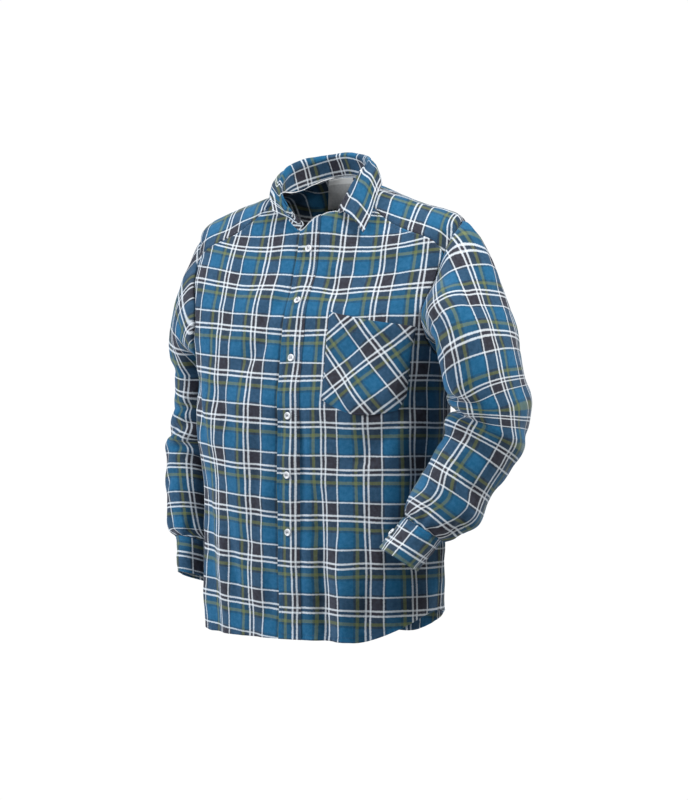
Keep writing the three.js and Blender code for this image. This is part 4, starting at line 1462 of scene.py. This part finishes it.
def make_plain(name, color, roughness, scale, depth, sheen=0.0):
    """A material whose colour and relief vary a little at the scale of its grain."""
    material, nodes, shader = start_material(name)
    place = nodes.add("ShaderNodeTexCoord").outputs["Object"]
    grain = nodes.noise(place, scale, 3, 0.6)
    darker = tuple(v * 0.78 for v in color[:3]) + (1.0,)
    nodes.put(shader.inputs["Base Color"], nodes.mix(grain, darker, color))
    set_values(shader, {"Roughness": roughness, "Sheen Weight": sheen})
    nodes.relief(shader, grain, 0.4, depth)
    return material


# The label's paler band from its top and the pitch of its weave, in metres
LABEL_BAND = 0.009
LABEL_WEAVE = 0.0011


def make_label_cloth():
    """Grey satin with a fine weave and a paler woven band along its top."""
    material, nodes, shader = start_material("label_satin")
    cloth = nodes.add("ShaderNodeUVMap", uv_map="cloth").outputs["UV"]
    along = nodes.add("ShaderNodeSeparateXYZ", cloth).outputs["Y"]
    band = nodes.math("LESS_THAN", nodes.math("MULTIPLY", along, -1.0), LABEL_BAND)
    threads = nodes.math("SINE", nodes.math("MULTIPLY", along, 2 * np.pi / LABEL_WEAVE))
    tone = nodes.math("MULTIPLY_ADD", threads, 0.12, nodes.noise(cloth, 300, 2))
    satin = nodes.mix(tone, srgb(150, 152, 154), srgb(190, 191, 190))
    nodes.put(shader.inputs["Base Color"], nodes.mix(band, satin, srgb(205, 206, 205)))
    set_values(shader, {"Roughness": 0.55})
    nodes.relief(shader, threads, 0.3, 0.0002)
    return material


def placket_button_seats(sheet):
    """Where the buttons sit on the placket's middle, and how they face."""
    middle = sheet.grid.shape[1] // 2
    column, facing = sheet.grid[:, middle], sheet.normals()[:, middle]
    for height in BUTTON_HEIGHTS:
        yield resample(height, column[:, 2], column), resample(height, column[:, 2], facing)


def make_buttonholes(seats):
    """Close stitching along both sides of each slit."""
    lines = []
    z = np.linspace(-SLIT_HALF_LENGTH, SLIT_HALF_LENGTH, 30)
    for seat, normal in seats:
        for side in (-SLIT_HALF_WIDTH, SLIT_HALF_WIDTH):
            path = seat + np.stack([np.full(30, side), np.zeros(30), z], axis=-1)
            lines.append(path + unit(normal) * 0.15)
    return lines


def add_light(name, place, power, size, color):
    light = bpy.data.lights.new(name, "AREA")
    light.energy = power
    light.size = size
    light.color = color
    lamp = link(bpy.data.objects.new(name, light))
    lamp.location = place
    lamp.rotation_euler = (Vector(LIGHT_TARGET) - place).to_track_quat("-Z", "Y").to_euler()


def add_studio():
    world = bpy.data.worlds.new("studio")
    world.use_nodes = True
    background = world.node_tree.nodes["Background"]
    background.inputs["Color"].default_value = (1, 1, 1, 1)
    nodes = Nodes(world.node_tree)
    seen = nodes.add("ShaderNodeLightPath").outputs["Is Camera Ray"]
    strength = nodes.math("MULTIPLY_ADD", seen, BACKDROP_LIGHT - WORLD_LIGHT, WORLD_LIGHT)
    nodes.put(background.inputs["Strength"], strength)
    bpy.context.scene.world = world
    bpy.context.scene.view_settings.view_transform = "Standard"
    bpy.ops.mesh.primitive_plane_add(size=FLOOR_SIZE, location=(0, 0, FLOOR_HEIGHT))
    floor = bpy.context.object
    floor.name = "floor"
    floor.data.materials.append(make_plain("floor_white", (0.93, 0.93, 0.93, 1), 0.9, 3.0, 0.0001))
    azimuth = np.radians(CAMERA_AZIMUTH)
    right = Vector((np.cos(azimuth), np.sin(azimuth), 0))
    toward = Vector((np.sin(azimuth), -np.cos(azimuth), 0))
    for name, (away, power, size, color) in LIGHTS.items():
        place = Vector(LIGHT_TARGET) + right * away[0] + toward * away[1] + Vector((0, 0, away[2]))
        add_light(name, place, power, size, color)


def add_buttons(placket_seats, cuffs):
    """One button at each seat on the placket, and one on the overlap of each cuff."""
    mesh = make_button_mesh()
    mesh.materials.append(make_plain("button_plastic", srgb(214, 217, 222), 0.32, 260, 0.0001))
    for i, (seat, normal) in enumerate(placket_seats, 1):
        add_button(f"button_{i}", f"button_front_{i}", mesh, seat, normal, (0, 0, 1))
    for which, cuff in cuffs.items():
        turn, down = np.array(360 + cuff["overlap"] / 2), np.array(CUFF_HEIGHT / 2)
        seat = cuff_point(cuff, turn, down)
        along = cuff_point(cuff, turn + 3, down) - seat
        normal = unit(np.cross(along, cuff["axis"]))
        if normal @ (seat - cuff["centre"]) < 0:
            normal = -normal
        node = f"cuff_button_{which}"
        add_button(node + "_piece", node, mesh, seat, normal, cuff["axis"])


def add_thread(piece, material):
    """Thread lies on the cloth, so it rides with it and has no solid of its own."""
    piece.data.materials.append(material)
    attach(piece, "root")


def main():
    flannel = make_flannel()
    placket = make_placket()
    make_front(1)
    make_front(-1)
    make_back()
    make_yoke()
    for which in SLEEVES:
        make_sleeve(which)
    cuffs = {which: cuff_shape(arm) for which, arm in SLEEVES.items()}
    for which, cuff in cuffs.items():
        make_cuff(which, cuff)
    make_collar()
    make_pocket()
    for piece in bpy.context.scene.objects:
        if piece.name.endswith("_cloth"):
            piece.data.materials.append(flannel)
    make_label().data.materials.append(make_label_cloth())

    seats = list(placket_button_seats(placket))
    add_buttons(seats, cuffs)
    navy = make_plain("thread_navy", srgb(34, 52, 84), 0.8, 900, 0.0001, 0.2)
    white = make_plain("thread_white", srgb(225, 230, 236), 0.8, 900, 0.0001, 0.2)
    add_thread(make_stitches("stitches_navy", STITCH_LINES["navy"]), navy)
    add_thread(make_stitches("stitches_white", STITCH_LINES["white"]), white)
    add_thread(tube_mesh("buttonhole_stitches", make_buttonholes(seats), BUTTONHOLE_THREAD), navy)
    add_thread(tube_mesh("button_threads", BUTTON_THREADS, BUTTON_THREAD), navy)
    add_thread(tube_mesh("neckline_overlocking", TAPE_LINES, TAPE_THREAD), white)
    add_studio()


main()
